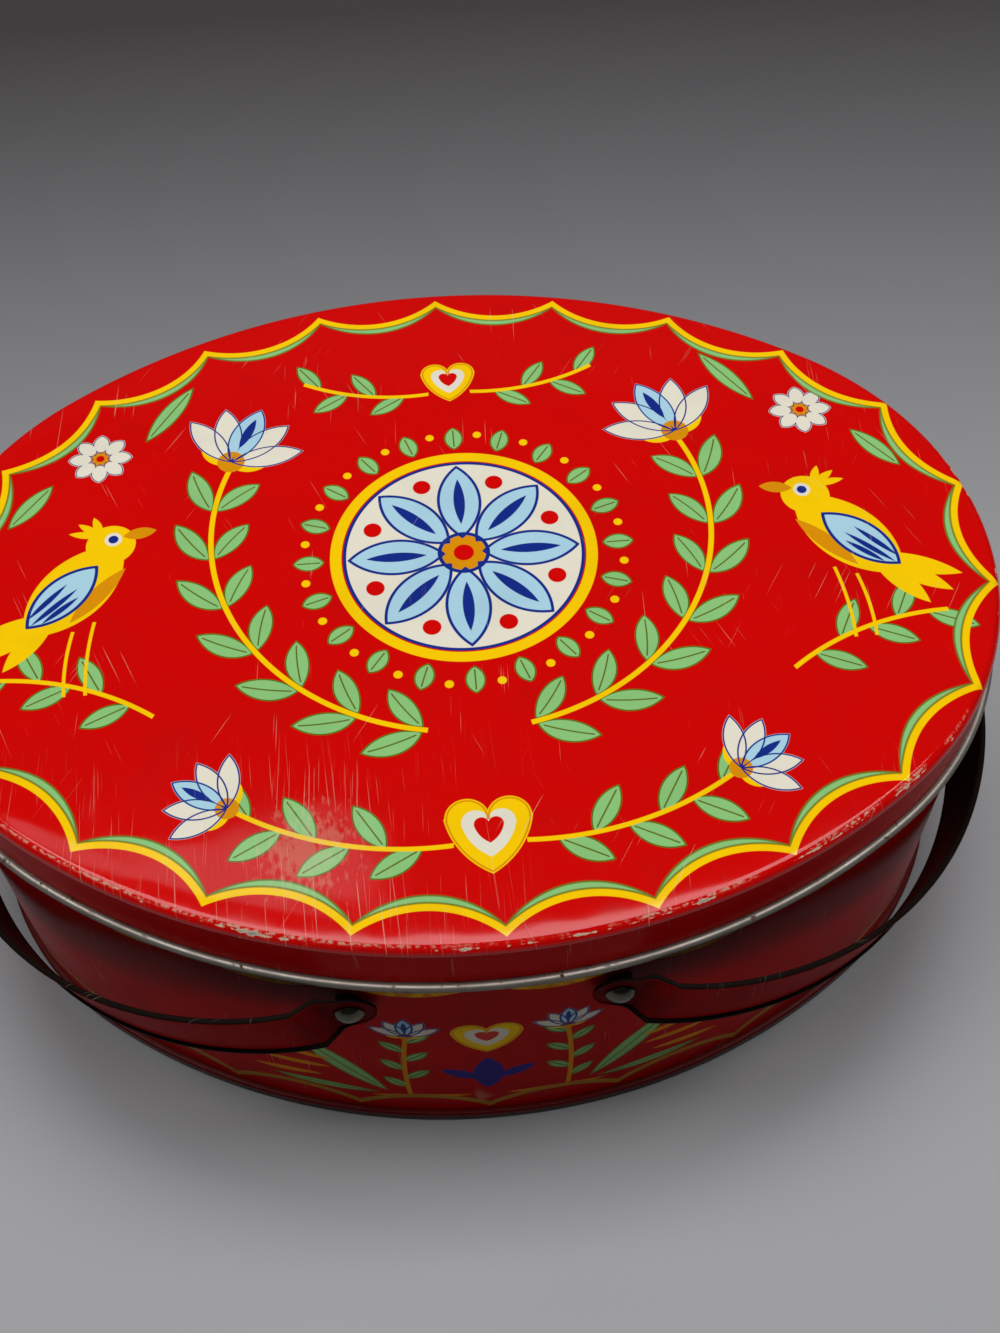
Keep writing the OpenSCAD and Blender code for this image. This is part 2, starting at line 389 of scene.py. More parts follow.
@dataclass(frozen=True)
class Place:
    """A place on a surface, and the shapes drawn there as distances to their edges."""

    graph: Graph
    x: Value
    y: Value
    z: Value
    point: bpy.types.NodeSocket

    def on_plane(self, x: Value, y: Value) -> "Place":
        """The same place read on a plane with those two coordinates."""
        flat = self.graph.node("ShaderNodeCombineXYZ", {}, {0: x, 1: y, 2: 0.0}).outputs[0]
        return Place(self.graph, x, y, self.z, flat)

    def from_point(self, centre: Point) -> Value:
        """Distance from a point of the plane."""
        made = self.graph.vector("DISTANCE", self.point, (*centre, 0.0))
        return Value(self.graph, made.outputs["Value"])

    def round_fold(self, centre: Point, count: int) -> "Place":
        """Folds the plane so that one shape repeats round a centre.

        Args:
            centre: Centre of the pattern.
            count: Number of repeats.

        Returns:
            The folded place, with the middle of a repeat along its X axis.
        """
        bearing = self.graph.math("ARCTAN2", self.y - centre[1], self.x - centre[0])
        angle = bearing.fold(math.pi / count)
        reach = self.from_point(centre)
        return self.on_plane(reach * angle.cosine(), reach * angle.sine())

    def disc(self, centre: Point, radius: float) -> Value:
        """A round spot."""
        return self.from_point(centre) - radius

    def leaf(self, start: Point, end: Point, half: float) -> Value:
        """A lens between two points.

        Args:
            start: One tip.
            end: Other tip.
            half: Half of its width at the middle.

        Returns:
            Distance to its edge.
        """
        a, b = Vector(start), Vector(end)
        chord = b - a
        radius = (chord.length_squared / 4 + half * half) / (2 * half)
        side = Vector((-chord.y, chord.x)).normalized() * (radius - half)
        middle = (a + b) / 2
        one = self.from_point(tuple(middle + side))
        other = self.from_point(tuple(middle - side))
        return one.most(other) - radius

    def rib(self, start: Point, end: Point, width: float) -> Value:
        """A straight line through two points.

        Args:
            start: One point.
            end: Other point.
            width: Width of the line.

        Returns:
            Distance to its edge.
        """
        along = (Vector(end) - Vector(start)).normalized()
        offset = start[0] * along.y - start[1] * along.x
        return abs(self.x * along.y - self.y * along.x - offset) - width / 2

    def moved(self, origin: Point, turn: float, scale: float) -> "Place":
        """The same place read from another origin.

        Args:
            origin: The new origin.
            turn: Turn of the new axes in degrees.
            scale: Size of the new unit.

        Returns:
            The place with its new coordinates.
        """
        sockets = {
            "Vector": self.point,
            "Location": (*origin, 0),
            "Rotation": (0, 0, math.radians(turn)),
            "Scale": (scale,) * 3,
        }
        point = self.graph.node("ShaderNodeMapping", {"vector_type": "TEXTURE"}, sockets).outputs[0]
        parts = self.graph.node("ShaderNodeSeparateXYZ", {}, {0: point})
        x, y = (Value(self.graph, parts.outputs[i]) for i in range(2))
        return Place(self.graph, x, y, self.z, point)

    def stroke(self, start: Point, end: Point, bulge: float, width: float) -> Value:
        """A line along an arc.

        Args:
            start: One end.
            end: Other end.
            bulge: How far the arc stands out to the left of the straight line, not zero.
            width: Width of the line.

        Returns:
            Distance to its edge.
        """
        a, b = Vector(start), Vector(end)
        chord = b - a
        left = Vector((-chord.y, chord.x)).normalized()
        radius = (chord.length_squared / 4 + bulge * bulge) / (2 * bulge)
        centre = (a + b) / 2 + left * (bulge - radius)
        ring = abs(self.from_point(tuple(centre)) - abs(radius)) - width / 2
        top = (a + b) / 2 + left * bulge
        return ring.most(self.disc(tuple(top), (a - top).length + width / 4))

    def heart(self, centre: Point, size: float) -> Value:
        """A heart that stands upright, of two lobes and two sides in shares of its width.

        Args:
            centre: Its middle.
            size: Its width.

        Returns:
            Distance to its edge.
        """
        up = self.y - centre[1]
        half = self.on_plane(abs(self.x - centre[0]), up)
        lobe, lobe_r = (0.245 * size, 0.16 * size), 0.262 * size
        flank, flank_r = (-0.50 * size, 0.33 * size), 1.03 * size
        waist = 0.17 * size
        return half.disc(lobe, lobe_r).least(half.disc(flank, flank_r).most(up - waist))


def carry_round(bm: bmesh.types.BMesh, geom: list[bmesh.types.BMVert | bmesh.types.BMEdge],
                arcs: Sequence[tuple[Point, float, float]], facet: float) -> None:
    """Carries a section along arcs that follow each other.

    Args:
        bm: Mesh to add to.
        geom: Vertices and edges of the section.
        arcs: Centre, radius and turn of each arc, clockwise where the turn is negative.
        facet: Length of a face along an arc.
    """
    for centre, radius, turn in arcs:
        spun = bmesh.ops.spin(
            bm, geom=geom, cent=(*centre, 0), axis=(0, 0, 1), angle=turn,
            steps=round(radius * abs(turn) / facet), use_merge=False,
        )
        geom = spun["geom_last"]


@dataclass(frozen=True)
class Oval:
    """Four-centre oval of the wall: two end arcs and two side arcs that meet in line."""

    length: float
    width: float
    facet: float = 3.0

    @property
    def half_length(self) -> float:
        """Half of the length."""
        return self.length / 2

    @property
    def half_width(self) -> float:
        """Half of the width."""
        return self.width / 2

    @property
    def span(self) -> float:
        """Distance between neighbouring tips of the oval."""
        return math.hypot(self.half_length, self.half_width)

    @property
    def end_r(self) -> float:
        """Radius of the end arcs."""
        return self.span * (self.span - self.half_length + self.half_width) / (2 * self.half_length)

    @property
    def side_r(self) -> float:
        """Radius of the side arcs."""
        return self.span * (self.span + self.half_length - self.half_width) / (2 * self.half_width)

    @property
    def end_x(self) -> float:
        """Distance from the middle to the centre of an end arc."""
        return self.half_length - self.end_r

    @property
    def side_y(self) -> float:
        """Distance from the middle to the centre of a side arc."""
        return self.side_r - self.half_width

    @property
    def join(self) -> float:
        """Angle at which an end arc meets a side arc."""
        return math.atan2(self.side_y, self.end_x)

    @property
    def quarter(self) -> float:
        """Length of a quarter of the oval."""
        return self.end_r * self.join + self.side_r * (math.pi / 2 - self.join)

    def where(self, x: float, y: float) -> tuple[float, float, Vector]:
        """Finds a point on the oval.

        Args:
            x: Place along the tin.
            y: Place across the tin.

        Returns:
            Length round the oval from its +X tip, distance out from the wall and the outward direction.
        """
        ax, ay = abs(x), abs(y)
        angle = math.atan2(ay, ax - self.end_x)
        along = self.end_r * angle
        out = math.hypot(ax - self.end_x, ay) - self.end_r
        if angle > self.join:
            angle = math.atan2(ay + self.side_y, ax)
            along = self.end_r * self.join + self.side_r * (angle - self.join)
            out = math.hypot(ax, ay + self.side_y) - self.side_r
        outward = Vector((math.copysign(math.cos(angle), x), math.copysign(math.sin(angle), y), 0))
        if x < 0:
            along = 2 * self.quarter - along
        return (along if y >= 0 else 4 * self.quarter - along), out, outward

    def share_round(self, spot: Vector, middle: Vector) -> float:
        """Share of the way round the oval, from 0 to 1.

        Args:
            spot: Corner of a face.
            middle: Middle of that face, which tells the start of the round from its end.

        Returns:
            The share.
        """
        whole = 4 * self.quarter
        here = self.where(spot.x, spot.y)[0]
        near = self.where(middle.x, middle.y)[0]
        return here / whole + round((near - here) / whole)

    def sweep(self, bm: bmesh.types.BMesh, section: Sequence[Point], closed: bool) -> None:
        """Carries a section of (distance out, height) round the oval.

        Args:
            bm: Mesh to add to.
            section: Points of the section.
            closed: Whether the last point joins the first.
        """
        start = self.end_x + self.end_r
        verts = [bm.verts.new((start + u, 0, z)) for u, z in section]
        pairs = list(zip(verts, verts[1:])) + ([(verts[-1], verts[0])] if closed else [])
        geom = verts + [bm.edges.new(pair) for pair in pairs]
        side_turn = math.pi - 2 * self.join
        arcs = [
            ((self.end_x, 0), self.end_r, self.join),
            ((0, -self.side_y), self.side_r, side_turn),
            ((-self.end_x, 0), self.end_r, 2 * self.join),
            ((0, self.side_y), self.side_r, side_turn),
            ((self.end_x, 0), self.end_r, self.join),
        ]
        carry_round(bm, geom, arcs, self.facet)
        bmesh.ops.remove_doubles(bm, verts=bm.verts, dist=MERGE)

    def read(self, place: Place) -> tuple[Value, Value]:
        """Reads the oval's own coordinates in a shader.

        Args:
            place: Place in the frame of the tin.

        Returns:
            Length round the oval from the nearer X tip, and distance out from the wall.
        """
        g = place.graph
        ax, ay = abs(place.x), abs(place.y)
        end_angle = g.math("ARCTAN2", ay, ax - self.end_x)
        side_angle = g.math("ARCTAN2", ay + self.side_y, ax)
        on_side = g.math("GREATER_THAN", end_angle, self.join)
        flat = place.on_plane(ax, ay)
        end_out = flat.from_point((self.end_x, 0)) - self.end_r
        side_out = flat.from_point((0, -self.side_y)) - self.side_r
        end_along = end_angle * self.end_r
        side_along = side_angle * self.side_r + (self.end_r - self.side_r) * self.join
        along = end_along + on_side * (side_along - end_along)
        out = end_out + on_side * (side_out - end_out)
        return along, out


def arc(centre: Point, radius: float, start: float, end: float, steps: int) -> list[Point]:
    """Points along an arc.

    Args:
        centre: Its centre.
        radius: Its radius.
        start: First angle in degrees.
        end: Last angle in degrees.
        steps: Number of steps.

    Returns:
        The points in order.
    """
    angles = [math.radians(start + (end - start) * i / steps) for i in range(steps + 1)]
    return [(centre[0] + radius * math.cos(a), centre[1] + radius * math.sin(a)) for a in angles]


def finished(bm: bmesh.types.BMesh, name: str, materials: Sequence[bpy.types.Material],
             crease: float = 40.0) -> bpy.types.Object:
    """Turns a mesh in millimetres into an object in metres at the origin.

    Args:
        bm: The mesh, which is used up.
        name: Name of the piece.
        materials: Its materials in order.
        crease: Angle in degrees past which an edge stays sharp.

    Returns:
        The object.
    """
    bmesh.ops.scale(bm, vec=(MM,) * 3, verts=bm.verts)
    mesh = bpy.data.meshes.new(name)
    bm.to_mesh(mesh)
    bm.free()
    for material in materials:
        mesh.materials.append(material)
    mesh.polygons.foreach_set("use_smooth", [True] * len(mesh.polygons))
    mesh.set_sharp_from_angle(angle=math.radians(crease))
    piece = bpy.data.objects.new(name, mesh)
    bpy.context.scene.collection.objects.link(piece)
    return piece


@dataclass(frozen=True)
class Scallops:
    """Row of arcs round the oval, with cusps at the middle of the long sides."""

    oval: Oval
    count: int = 22

    @property
    def pitch(self) -> float:
        """Length of one arc round the oval."""
        return 4 * self.oval.quarter / self.count

    def radius(self, rise: float) -> float:
        """Radius of an arc that stands that far above its cusps."""
        return (self.pitch * self.pitch / 4 + rise * rise) / (2 * rise)

    def beyond(self, place: Place, along: Value, depth: Value, cusp: float, rise: float) -> Value:
        """Distance beyond the row of arcs.

        Args:
            place: Place on the surface.
            along: Length round the oval, with the middle of an arc at 0.
            depth: Depth measured towards the bulge of the arcs.
            cusp: Depth of the cusps.
            rise: How far the arcs bulge past the cusps.

        Returns:
            The distance, negative between the arcs and their cusps.
        """
        radius = self.radius(rise)
        flat = place.on_plane(along.fold(self.pitch / 2), depth)
        return flat.disc((0, cusp + rise - radius), radius)


@dataclass(frozen=True)
class Wear:
    """Scratches and chips of printed tinplate."""

    scratch_width: float = 0.22
    scratch_stretch: tuple[float, ...] = (1.6, 160, 160)
    scratch_soft: float = 0.04
    scratch_patch: float = 34
    patch_soft: float = 0.08
    chip_size: float = 2.6
    chip_patch: float = 24
    chip_soft: float = 0.035
    fine_share: float = 0.55
    patch_share: float = 0.75
    edge_share: float = 0.42

    def scratches(self, place: Place, turns: Sequence[float], level: float,
                  patchy: float = 0.58) -> Value:
        """Fine pale scratches in a few directions.

        Args:
            place: Place in the frame of the tin.
            turns: Direction of each set in degrees.
            level: Noise level above which a scratch shows.
            patchy: Noise level above which a patch has scratches.

        Returns:
            Share of each scratch, from 0 to 1.
        """
        g = place.graph
        whole = None
        for number, turn in enumerate(turns, start=1):
            line = g.noise(
                place.point, self.scratch_width, detail=1.0, stretch=self.scratch_stretch,
                turn=math.radians(turn), offset=7.3 * number,
            )
            patch = g.noise(place.point, self.scratch_patch, detail=2.0, offset=11.0 * number)
            mark = line.above(level, self.scratch_soft) * patch.above(patchy, self.patch_soft)
            whole = mark if whole is None else whole.most(mark)
        return whole

    def chips(self, place: Place, edge: Value, level: float) -> Value:
        """Bare spots where an edge rubs.

        Args:
            place: Place in the frame of the tin.
            edge: How exposed the surface is, from 0 to 1.
            level: Level above which the metal shows.

        Returns:
            Share of bare metal, from 0 to 1.
        """
        g = place.graph
        fine = g.noise(place.point, self.chip_size, detail=4.0, offset=3.0)
        patch = g.noise(place.point, self.chip_patch, detail=2.0, offset=29.0)
        worn = fine * self.fine_share + patch * self.patch_share + edge * self.edge_share
        return worn.above(level, self.chip_soft)


class Plates:
    """Printing plates: the joined shapes of each ink, pressed in PRINT_ORDER."""

    def __init__(self, graph: Graph) -> None:
        """Starts with no plate."""
        self.graph = graph
        self.shapes: dict[Ink, Value] = {}

    def add(self, ink: Ink, shape: Value) -> Value:
        """Adds a shape to the plate of an ink.

        Args:
            ink: The ink.
            shape: Distance to the shape's edge.

        Returns:
            The shape, for use on another plate.
        """
        before = self.shapes.get(ink)
        self.shapes[ink] = shape if before is None else before.least(shape)
        return shape

    def pressed(self, colour: bpy.types.NodeSocket, share: Number,
                soft: float = EDGE_SOFT) -> bpy.types.NodeSocket:
        """Prints the plates.

        Args:
            colour: Colour of the sheet below.
            share: How much of the ink shows.
            soft: Width of an edge in millimetres.

        Returns:
            The printed colour.
        """
        for ink in PRINT_ORDER:
            colour = self.graph.mix(self.shapes[ink].inside(soft) * share, colour, ink)
        return colour


@dataclass(frozen=True)
class Motifs:
    """Folk ornaments on the plates, drawn in millimetres or in shares of their size."""

    plates: Plates
    line: float = 0.45
    stem: Ink = Ink.YELLOW
    stem_w: float = 1.4
    rib_inset: float = 0.3
    line_inset: float = 0.3
    leaf_first: float = 0.8
    leaf_spare: float = 0.4
    leaf_run: float = 0.72
    leaf_side: float = 0.69
    leaf_half: float = 0.2
    heart_inset: float = 0.6
    heart_white: float = 0.62
    heart_red: float = 0.34
    heart_lift: float = 0.02

    def veined(self, blade: Value, rib: Value) -> None:
        """Prints a leaf's blade in green, and its rib and outline in olive.

        Args:
            blade: Distance to the leaf's edge.
            rib: Distance to its rib's edge.
        """
        self.plates.add(Ink.GREEN, blade)
        self.plates.add(Ink.OLIVE, rib)
        self.plates.add(Ink.OLIVE, abs(blade) - self.line / 2)

    def outlined(self, ink: Ink, petal: Value, half: float) -> None:
        """Prints a petal with a dark blue line just inside its edge.

        Args:
            ink: Ink of the petal.
            petal: Distance to its edge.
            half: Half of the line's width.
        """
        self.plates.add(ink, petal)
        self.plates.add(Ink.DARK_BLUE, abs(petal + self.line_inset) - half)

    def leaf(self, place: Place, start: Point, end: Point, half: float) -> None:
        """A green leaf with an outline and a rib.

        Args:
            place: Where to draw.
            start: Foot of the leaf.
            end: Its tip.
            half: Half of its width.
        """
        blade = place.leaf(start, end, half)
        rib = place.rib(start, end, self.line).most(blade + half * self.rib_inset)
        self.veined(blade, rib)

    def sprig(self, place: Place, start: Point, end: Point, bulge: float, leaves: int,
              size: float) -> None:
        """A stem with leaves on both sides.

        Args:
            place: Where to draw.
            start: Foot of the stem.
            end: Tip of the stem.
            bulge: How far the stem bows to its left.
            leaves: Number of leaves.
            size: Length of a leaf.
        """
        self.plates.add(self.stem, place.stroke(start, end, bulge, self.stem_w))
        foot, tip = Vector(start), Vector(end)
        run = (tip - foot).normalized()
        left = Vector((-run.y, run.x))
        for number in range(leaves):
            share = (number + self.leaf_first) / (leaves + self.leaf_spare)
            bow = 4 * bulge * share * (1 - share)
            root = foot.lerp(tip, share) + left * bow
            side = 1 if number % 2 else -1
            point = root + (run * self.leaf_run + left * (self.leaf_side * side)) * size
            self.leaf(place, tuple(root), tuple(point), size * self.leaf_half)

    def heart(self, place: Place, centre: Point, size: float) -> None:
        """A heart in a heart.

        Args:
            place: Where to draw.
            centre: Its middle.
            size: Its width.
        """
        edge = self.plates.add(Ink.YELLOW, place.heart(centre, size))
        self.plates.add(Ink.AMBER, abs(edge + self.heart_inset) - self.line / 2)
        self.plates.add(Ink.WHITE, place.heart(centre, size * self.heart_white))
        core = (centre[0], centre[1] + self.heart_lift * size)
        self.plates.add(Ink.RED, place.heart(core, size * self.heart_red))

    def fan_flower(self, place: Place, foot: Point, turn: float, size: float) -> None:
        """A flower of fanned petals, drawn in shares of its size.

        Args:
            place: Where to draw.
            foot: Where the petals meet.
            turn: Direction of the flower in degrees, with 0 up the plane.
            size: Length of the middle petal.
        """
        own = place.moved(foot, turn, size)
        own = own.on_plane(abs(own.x), own.y)
        root = (0.0, 0.05)
        side_petals = (((0.78, 0.52), 0.17), ((0.44, 0.86), 0.18))
        for tip, half in side_petals:
            self.outlined(Ink.WHITE, own.leaf(root, tip, half) * size, self.line / 2)
        self.outlined(Ink.PALE_BLUE, own.leaf(root, (0.0, 1.0), 0.2) * size, self.line / 2)
        self.plates.add(Ink.DARK_BLUE, own.leaf((0.0, 0.3), (0.0, 0.82), 0.06) * size)
        self.plates.add(Ink.AMBER, own.disc((0.0, 0.06), 0.17) * size)
        self.plates.add(Ink.YELLOW, own.leaf((0.0, 0.0), (0.42, 0.1), 0.09) * size)

    def rosette(self, place: Place, centre: Point, petals: int, radius: float) -> None:
        """A round flower of white petals, drawn in shares of its radius.

        Args:
            place: Where to draw.
            centre: Its middle.
            petals: Number of petals.
            radius: Its radius.
        """
        own = place.round_fold(centre, petals)
        room = radius * 0.88 * math.sin(math.pi / petals)
        petal = own.leaf((radius * 0.2, 0), (radius, 0), room * 0.8)
        self.outlined(Ink.WHITE, petal, self.line / 3)
        self.plates.add(Ink.AMBER, place.disc(centre, radius * 0.3))
        self.plates.add(Ink.RED, place.disc(centre, radius * 0.13))

    def bird(self, place: Place, centre: Point, turn: float) -> None:
        """A perched bird that looks to the left.

        Args:
            place: Where to draw.
            centre: Middle of its body.
            turn: Tilt of its body in degrees.
        """
        own = place.moved(centre, turn, 1.0)
        head, eye, crown = (-14, 9.5), (-15.5, 11), (-13, 14)
        tail_tips = ((37, -3), (36, -10), (31, -17))
        crest_tips = ((-14, 22), (-9, 22), (-5, 20))
        quills = (((3, 2.6), (18, -3.5)), ((1, -0.6), (18, -6)), ((2, -3.6), (15, -7)))
        wing = own.leaf((-7, 4), (19, -6), 6.2)
        for tip in tail_tips:
            self.plates.add(Ink.YELLOW, own.leaf((10, -6), tip, 3.2))
            self.plates.add(Ink.OLIVE, own.leaf((20, -6.5), tip, 0.5))
        self.plates.add(Ink.YELLOW, own.leaf((-17, 8), (21, -9), 10.5))
        self.plates.add(Ink.YELLOW, own.disc(head, 7.4))
        for tip in crest_tips:
            self.plates.add(Ink.YELLOW, own.leaf(crown, tip, 1.3))
        self.plates.add(Ink.AMBER, own.leaf((-28, 7.5), (-18.5, 10.5), 2.1))
        self.plates.add(Ink.AMBER, own.leaf((-14, -1), (8, -11), 2.6))
        self.plates.add(Ink.PALE_BLUE, wing)
        self.plates.add(Ink.DARK_BLUE, abs(wing) - 0.5)
        for low, high in quills:
            self.plates.add(Ink.DARK_BLUE, own.leaf(low, high, 0.9))
        self.plates.add(Ink.DARK_BLUE, own.disc(eye, 1.5))
        self.plates.add(Ink.WHITE, own.disc(eye, 2.6))

    def medallion(self, place: Place, centre: Point, radius: float) -> None:
        """A round star of petals in a ring, with a wreath of leaves.

        Args:
            place: Where to draw.
            centre: Its middle.
            radius: Radius of the ring.
        """
        petals, leaves = 8, 20
        star = place.round_fold(centre, petals)
        wreath = place.round_fold(centre, leaves)
        reach = place.from_point(centre)
        self.plates.add(Ink.YELLOW, abs(reach - radius) - 1.7)
        self.plates.add(Ink.WHITE, reach - radius + 2.4)
        self.plates.add(Ink.DARK_BLUE, abs(reach - radius + 2.6) - 0.5)
        petal = self.plates.add(Ink.PALE_BLUE, star.leaf((6, 0), (radius - 4, 0), 6.3))
        self.plates.add(Ink.DARK_BLUE, abs(petal) - self.line)
        self.plates.add(Ink.DARK_BLUE, star.leaf((11, 0), (radius - 9, 0), 1.7))
        between, bud_r = math.pi / petals, radius * 0.76
        bud = (bud_r * math.cos(between), bud_r * math.sin(between))
        self.plates.add(Ink.RED, star.disc(bud, 2.7))
        self.plates.add(Ink.AMBER, place.disc(centre, 6.6))
        self.plates.add(Ink.DARK_BLUE, abs(reach - 7.2) - 0.6)
        self.plates.add(Ink.RED, place.disc(centre, 3.0))
        self.leaf(wreath, (radius + 3.5, 0), (radius + 12.5, 0), 2.7)
        gap, berry_r = math.pi / leaves, radius + 9.5
        berry = (berry_r * math.cos(gap), berry_r * math.sin(gap))
        self.plates.add(Ink.YELLOW, wreath.disc(berry, 1.3))

    def garland(self, place: Place, centre: Point, radius: float, span: Point, step: float) -> None:
        """A yellow stem along an arc with a pair of leaves at each step.

        Args:
            place: Where to draw.
            centre: Centre of the arc.
            radius: Its radius.
            span: First and last angle in degrees, from straight down towards +X.
            step: Angle between pairs of leaves in degrees.
        """
        g = self.plates.graph
        angle = g.math("ARCTAN2", place.x - centre[0], centre[1] - place.y)
        out = place.from_point(centre) - radius
        middle = math.radians(sum(span) / 2)
        past = (abs(angle - middle) - math.radians(span[1] - span[0]) / 2) * radius
        self.plates.add(Ink.YELLOW, (abs(out) - 0.8).most(past))
        along = g.math("WRAP", angle - math.radians(span[0]), math.radians(step), 0.0) * radius
        bed = place.on_plane(along, abs(out))
        root, tip = (1.5, 0.9), (15.0, 11.0)
        blade = bed.leaf(root, tip, 3.4).most(past)
        self.veined(blade, bed.rib(root, tip, self.line).most(blade + 1.0))


@dataclass(frozen=True)
class LidPrint:
    """Printed top of the lid: scalloped border, medallion, garland, birds and hearts.

    A worn corner is given along the tin and towards its front, as a level and a softness each; on the
    right it also places painted highlights of small dents, drawn as chips.
    """

    oval: Oval
    top: float
    out: float
    band: float = 2.3
    cusp_in: float = 3.7
    cusp_green: float = 0.7
    rise: float = 8.0
    crescent: float = 1.4
    line: float = 0.6
    line_soft: float = 0.3
    line_share: float = 0.8
    edge_drop: float = 2.2
    edge_soft: float = 0.3
    offset: Point = (3.2, -0.5)
    shift: float = 3.2
    turn: float = 0.6
    medallion: Point = (0.0, 8.0)
    medallion_r: float = 38.0
    garland_centre: Point = (0.0, 20.0)
    garland_r: float = 75.0
    garland_span: Point = (11.0, 112.0)
    garland_step: float = 14.4
    deep_red: float = 0.22
    smudge: float = 0.1
    scratch: float = 0.45
    worn_left: tuple[Point, Point] = ((10.0, 60.0), (68.0, 34.0))
    worn_right: tuple[Point, Point] = ((24.0, 14.0), (66.0, 30.0))
    scuff: Point = (-44.0, -89.0)
    scuff_r: float = 24.0
    scuff_share: float = 0.2
    worn_line_in: float = 0.9
    worn_line_half: float = 0.55
    worn_line_share: float = 0.8
    shoulder_in: float = 0.2
    shoulder_half: float = 1.9
    right_chips_and_glints: float = 0.2
    rim_level: float = 1.17
    bare_level: float = 1.23
    gloss: float = 0.28
    roughness: float = 0.05
    wave: float = 0.5
    chip_depth: float = 0.03
    scratch_depth: float = 0.01

    def border(self, place: Place) -> tuple[Value, Value, Value]:
        """Draws the scalloped border.

        Args:
            place: Place in the frame of the print.

        Returns:
            Distances to the yellow band, the green crescent and the fine lines.
        """
        row = Scallops(self.oval)
        along, out = self.oval.read(place)
        depth = self.out - out
        round_it = along * place.graph.math("SIGN", place.x * place.y) - self.shift
        past = row.beyond(place, round_it, depth, self.cusp_in, self.rise)
        inner_cusp = self.cusp_in + self.band + self.cusp_green
        inner = row.beyond(place, round_it, depth, inner_cusp, self.rise + self.crescent)
        yellow = (-past).most(past - self.band)
        green = (self.band - past).most(inner)
        lines = abs(past - self.band).least(abs(inner).most(self.band - past)) - self.line / 2
        return yellow, green, lines

    def draw(self, place: Place) -> Plates:
        """Draws the picture on its plates, mirrored at the middle.

        Args:
            place: Place in the frame of the print.

        Returns:
            The plates.
        """
        plates = Plates(place.graph)
        motifs = Motifs(plates)
        page = place.on_plane(abs(place.x), place.y)
        motifs.medallion(page, self.medallion, self.medallion_r)
        motifs.garland(
            page, self.garland_centre, self.garland_r, self.garland_span, self.garland_step
        )
        motifs.fan_flower(page, foot=(70.0, 49.5), turn=24.0, size=25.0)
        motifs.bird(page, centre=(113.0, 6.0), turn=-27.0)
        for leg in ((108.0, -8.0), (114.0, -11.0)):
            toes = (leg[0] + 1.0, -33.0)
            plates.add(Ink.YELLOW, page.stroke(leg, toes, bulge=0.8, width=1.0))
        motifs.sprig(page, (90.0, -42.0), (137.0, -26.0), bulge=4.0, leaves=5, size=15.0)
        motifs.rosette(page, centre=(110.0, 56.0), petals=8, radius=10.0)
        motifs.leaf(page, (96.0, 62.0), (82.0, 84.0), half=3.0)
        motifs.leaf(page, (124.0, 46.0), (136.0, 30.0), half=3.0)
        motifs.heart(page, centre=(0.0, -86.0), size=23.0)
        motifs.sprig(page, (10.0, -90.0), (68.0, -74.0), bulge=-5.0, leaves=6, size=16.0)
        motifs.fan_flower(page, foot=(68.0, -74.0), turn=-58.0, size=19.0)
        motifs.heart(page, centre=(0.0, 80.0), size=17.0)
        motifs.sprig(page, (7.0, 74.0), (46.0, 82.0), bulge=-3.0, leaves=4, size=13.0)
        return plates

    def printed(self, place: Place) -> bpy.types.NodeSocket:
        """Prints the ground, the picture and the border.

        Args:
            place: Place in the frame of the tin.

        Returns:
            The colour of the unworn print.
        """
        g = place.graph
        level = place.on_plane(place.x, place.y)
        on_top = place.z.above(self.top - self.edge_drop, self.edge_soft)
        colour = g.mix(g.noise(place.point, size=46) * self.deep_red, Ink.RED, Ink.DEEP_RED)
        colour = self.draw(level.moved(self.offset, self.turn, 1.0)).pressed(colour, on_top)
        yellow, green, lines = self.border(level.moved(self.offset, 0.0, 1.0))
        colour = g.mix(green.inside() * on_top, colour, Ink.GREEN)
        colour = g.mix(yellow.inside() * on_top, colour, Ink.YELLOW)
        return g.mix(lines.inside(self.line_soft) * on_top * self.line_share, colour, Ink.OLIVE)

    def material(self) -> bpy.types.Material:
        """Makes the printed and worn finish of the lid's top.

        Returns:
            The material.
        """
        g = Graph("printed_lid_finish")
        place = g.place()
        _, out = self.oval.read(place)
        colour = self.printed(place)
        wear = Wear()
        smudge = g.noise(place.point, size=18, detail=4.0, offset=5.0)
        colour = g.mix(smudge.above(0.64, 0.3) * self.smudge, colour, Ink.BLACK)
        near_left = (-place.x).above(*self.worn_left[0]) * (-place.y).above(*self.worn_left[1])
        right_wear_and_glints = place.x.above(*self.worn_right[0]) * (-place.y).above(*self.worn_right[1])
        pale_marks = wear.scratches(place, turns=(1, -4), level=0.71, patchy=0.48) * near_left
        scratch = wear.scratches(place, turns=(2, 31, -24), level=0.76).most(pale_marks)
        colour = g.mix(scratch * self.scratch, colour, Ink.PRIMER)
        from_scuff = place.on_plane(place.x, place.y).from_point(self.scuff)
        patch = (1 - from_scuff / self.scuff_r).most(0.0)
        mottle = g.noise(place.point, size=1.5, detail=4.0, stretch=(1, 2.4, 1), offset=37.0)
        scuffed = (mottle * 0.7 + patch * 0.4).above(0.6, 0.12)
        colour = g.mix(scuffed * self.scuff_share, colour, Ink.PRIMER)
        fret = g.noise(place.point, size=1.3, offset=13.0).above(0.52, 0.12)
        patchy = g.noise(place.point, size=15, detail=2.0, offset=19.0).above(0.5, 0.1)
        on_line = (1 - abs(out + self.worn_line_in) / self.worn_line_half).most(0.0)
        worn_line = on_line * (near_left + right_wear_and_glints * patchy) * fret
        colour = g.mix(worn_line * self.worn_line_share, colour, Ink.PRIMER)
        shoulder = (1 - abs(out + self.shoulder_in) / self.shoulder_half).most(0.0)
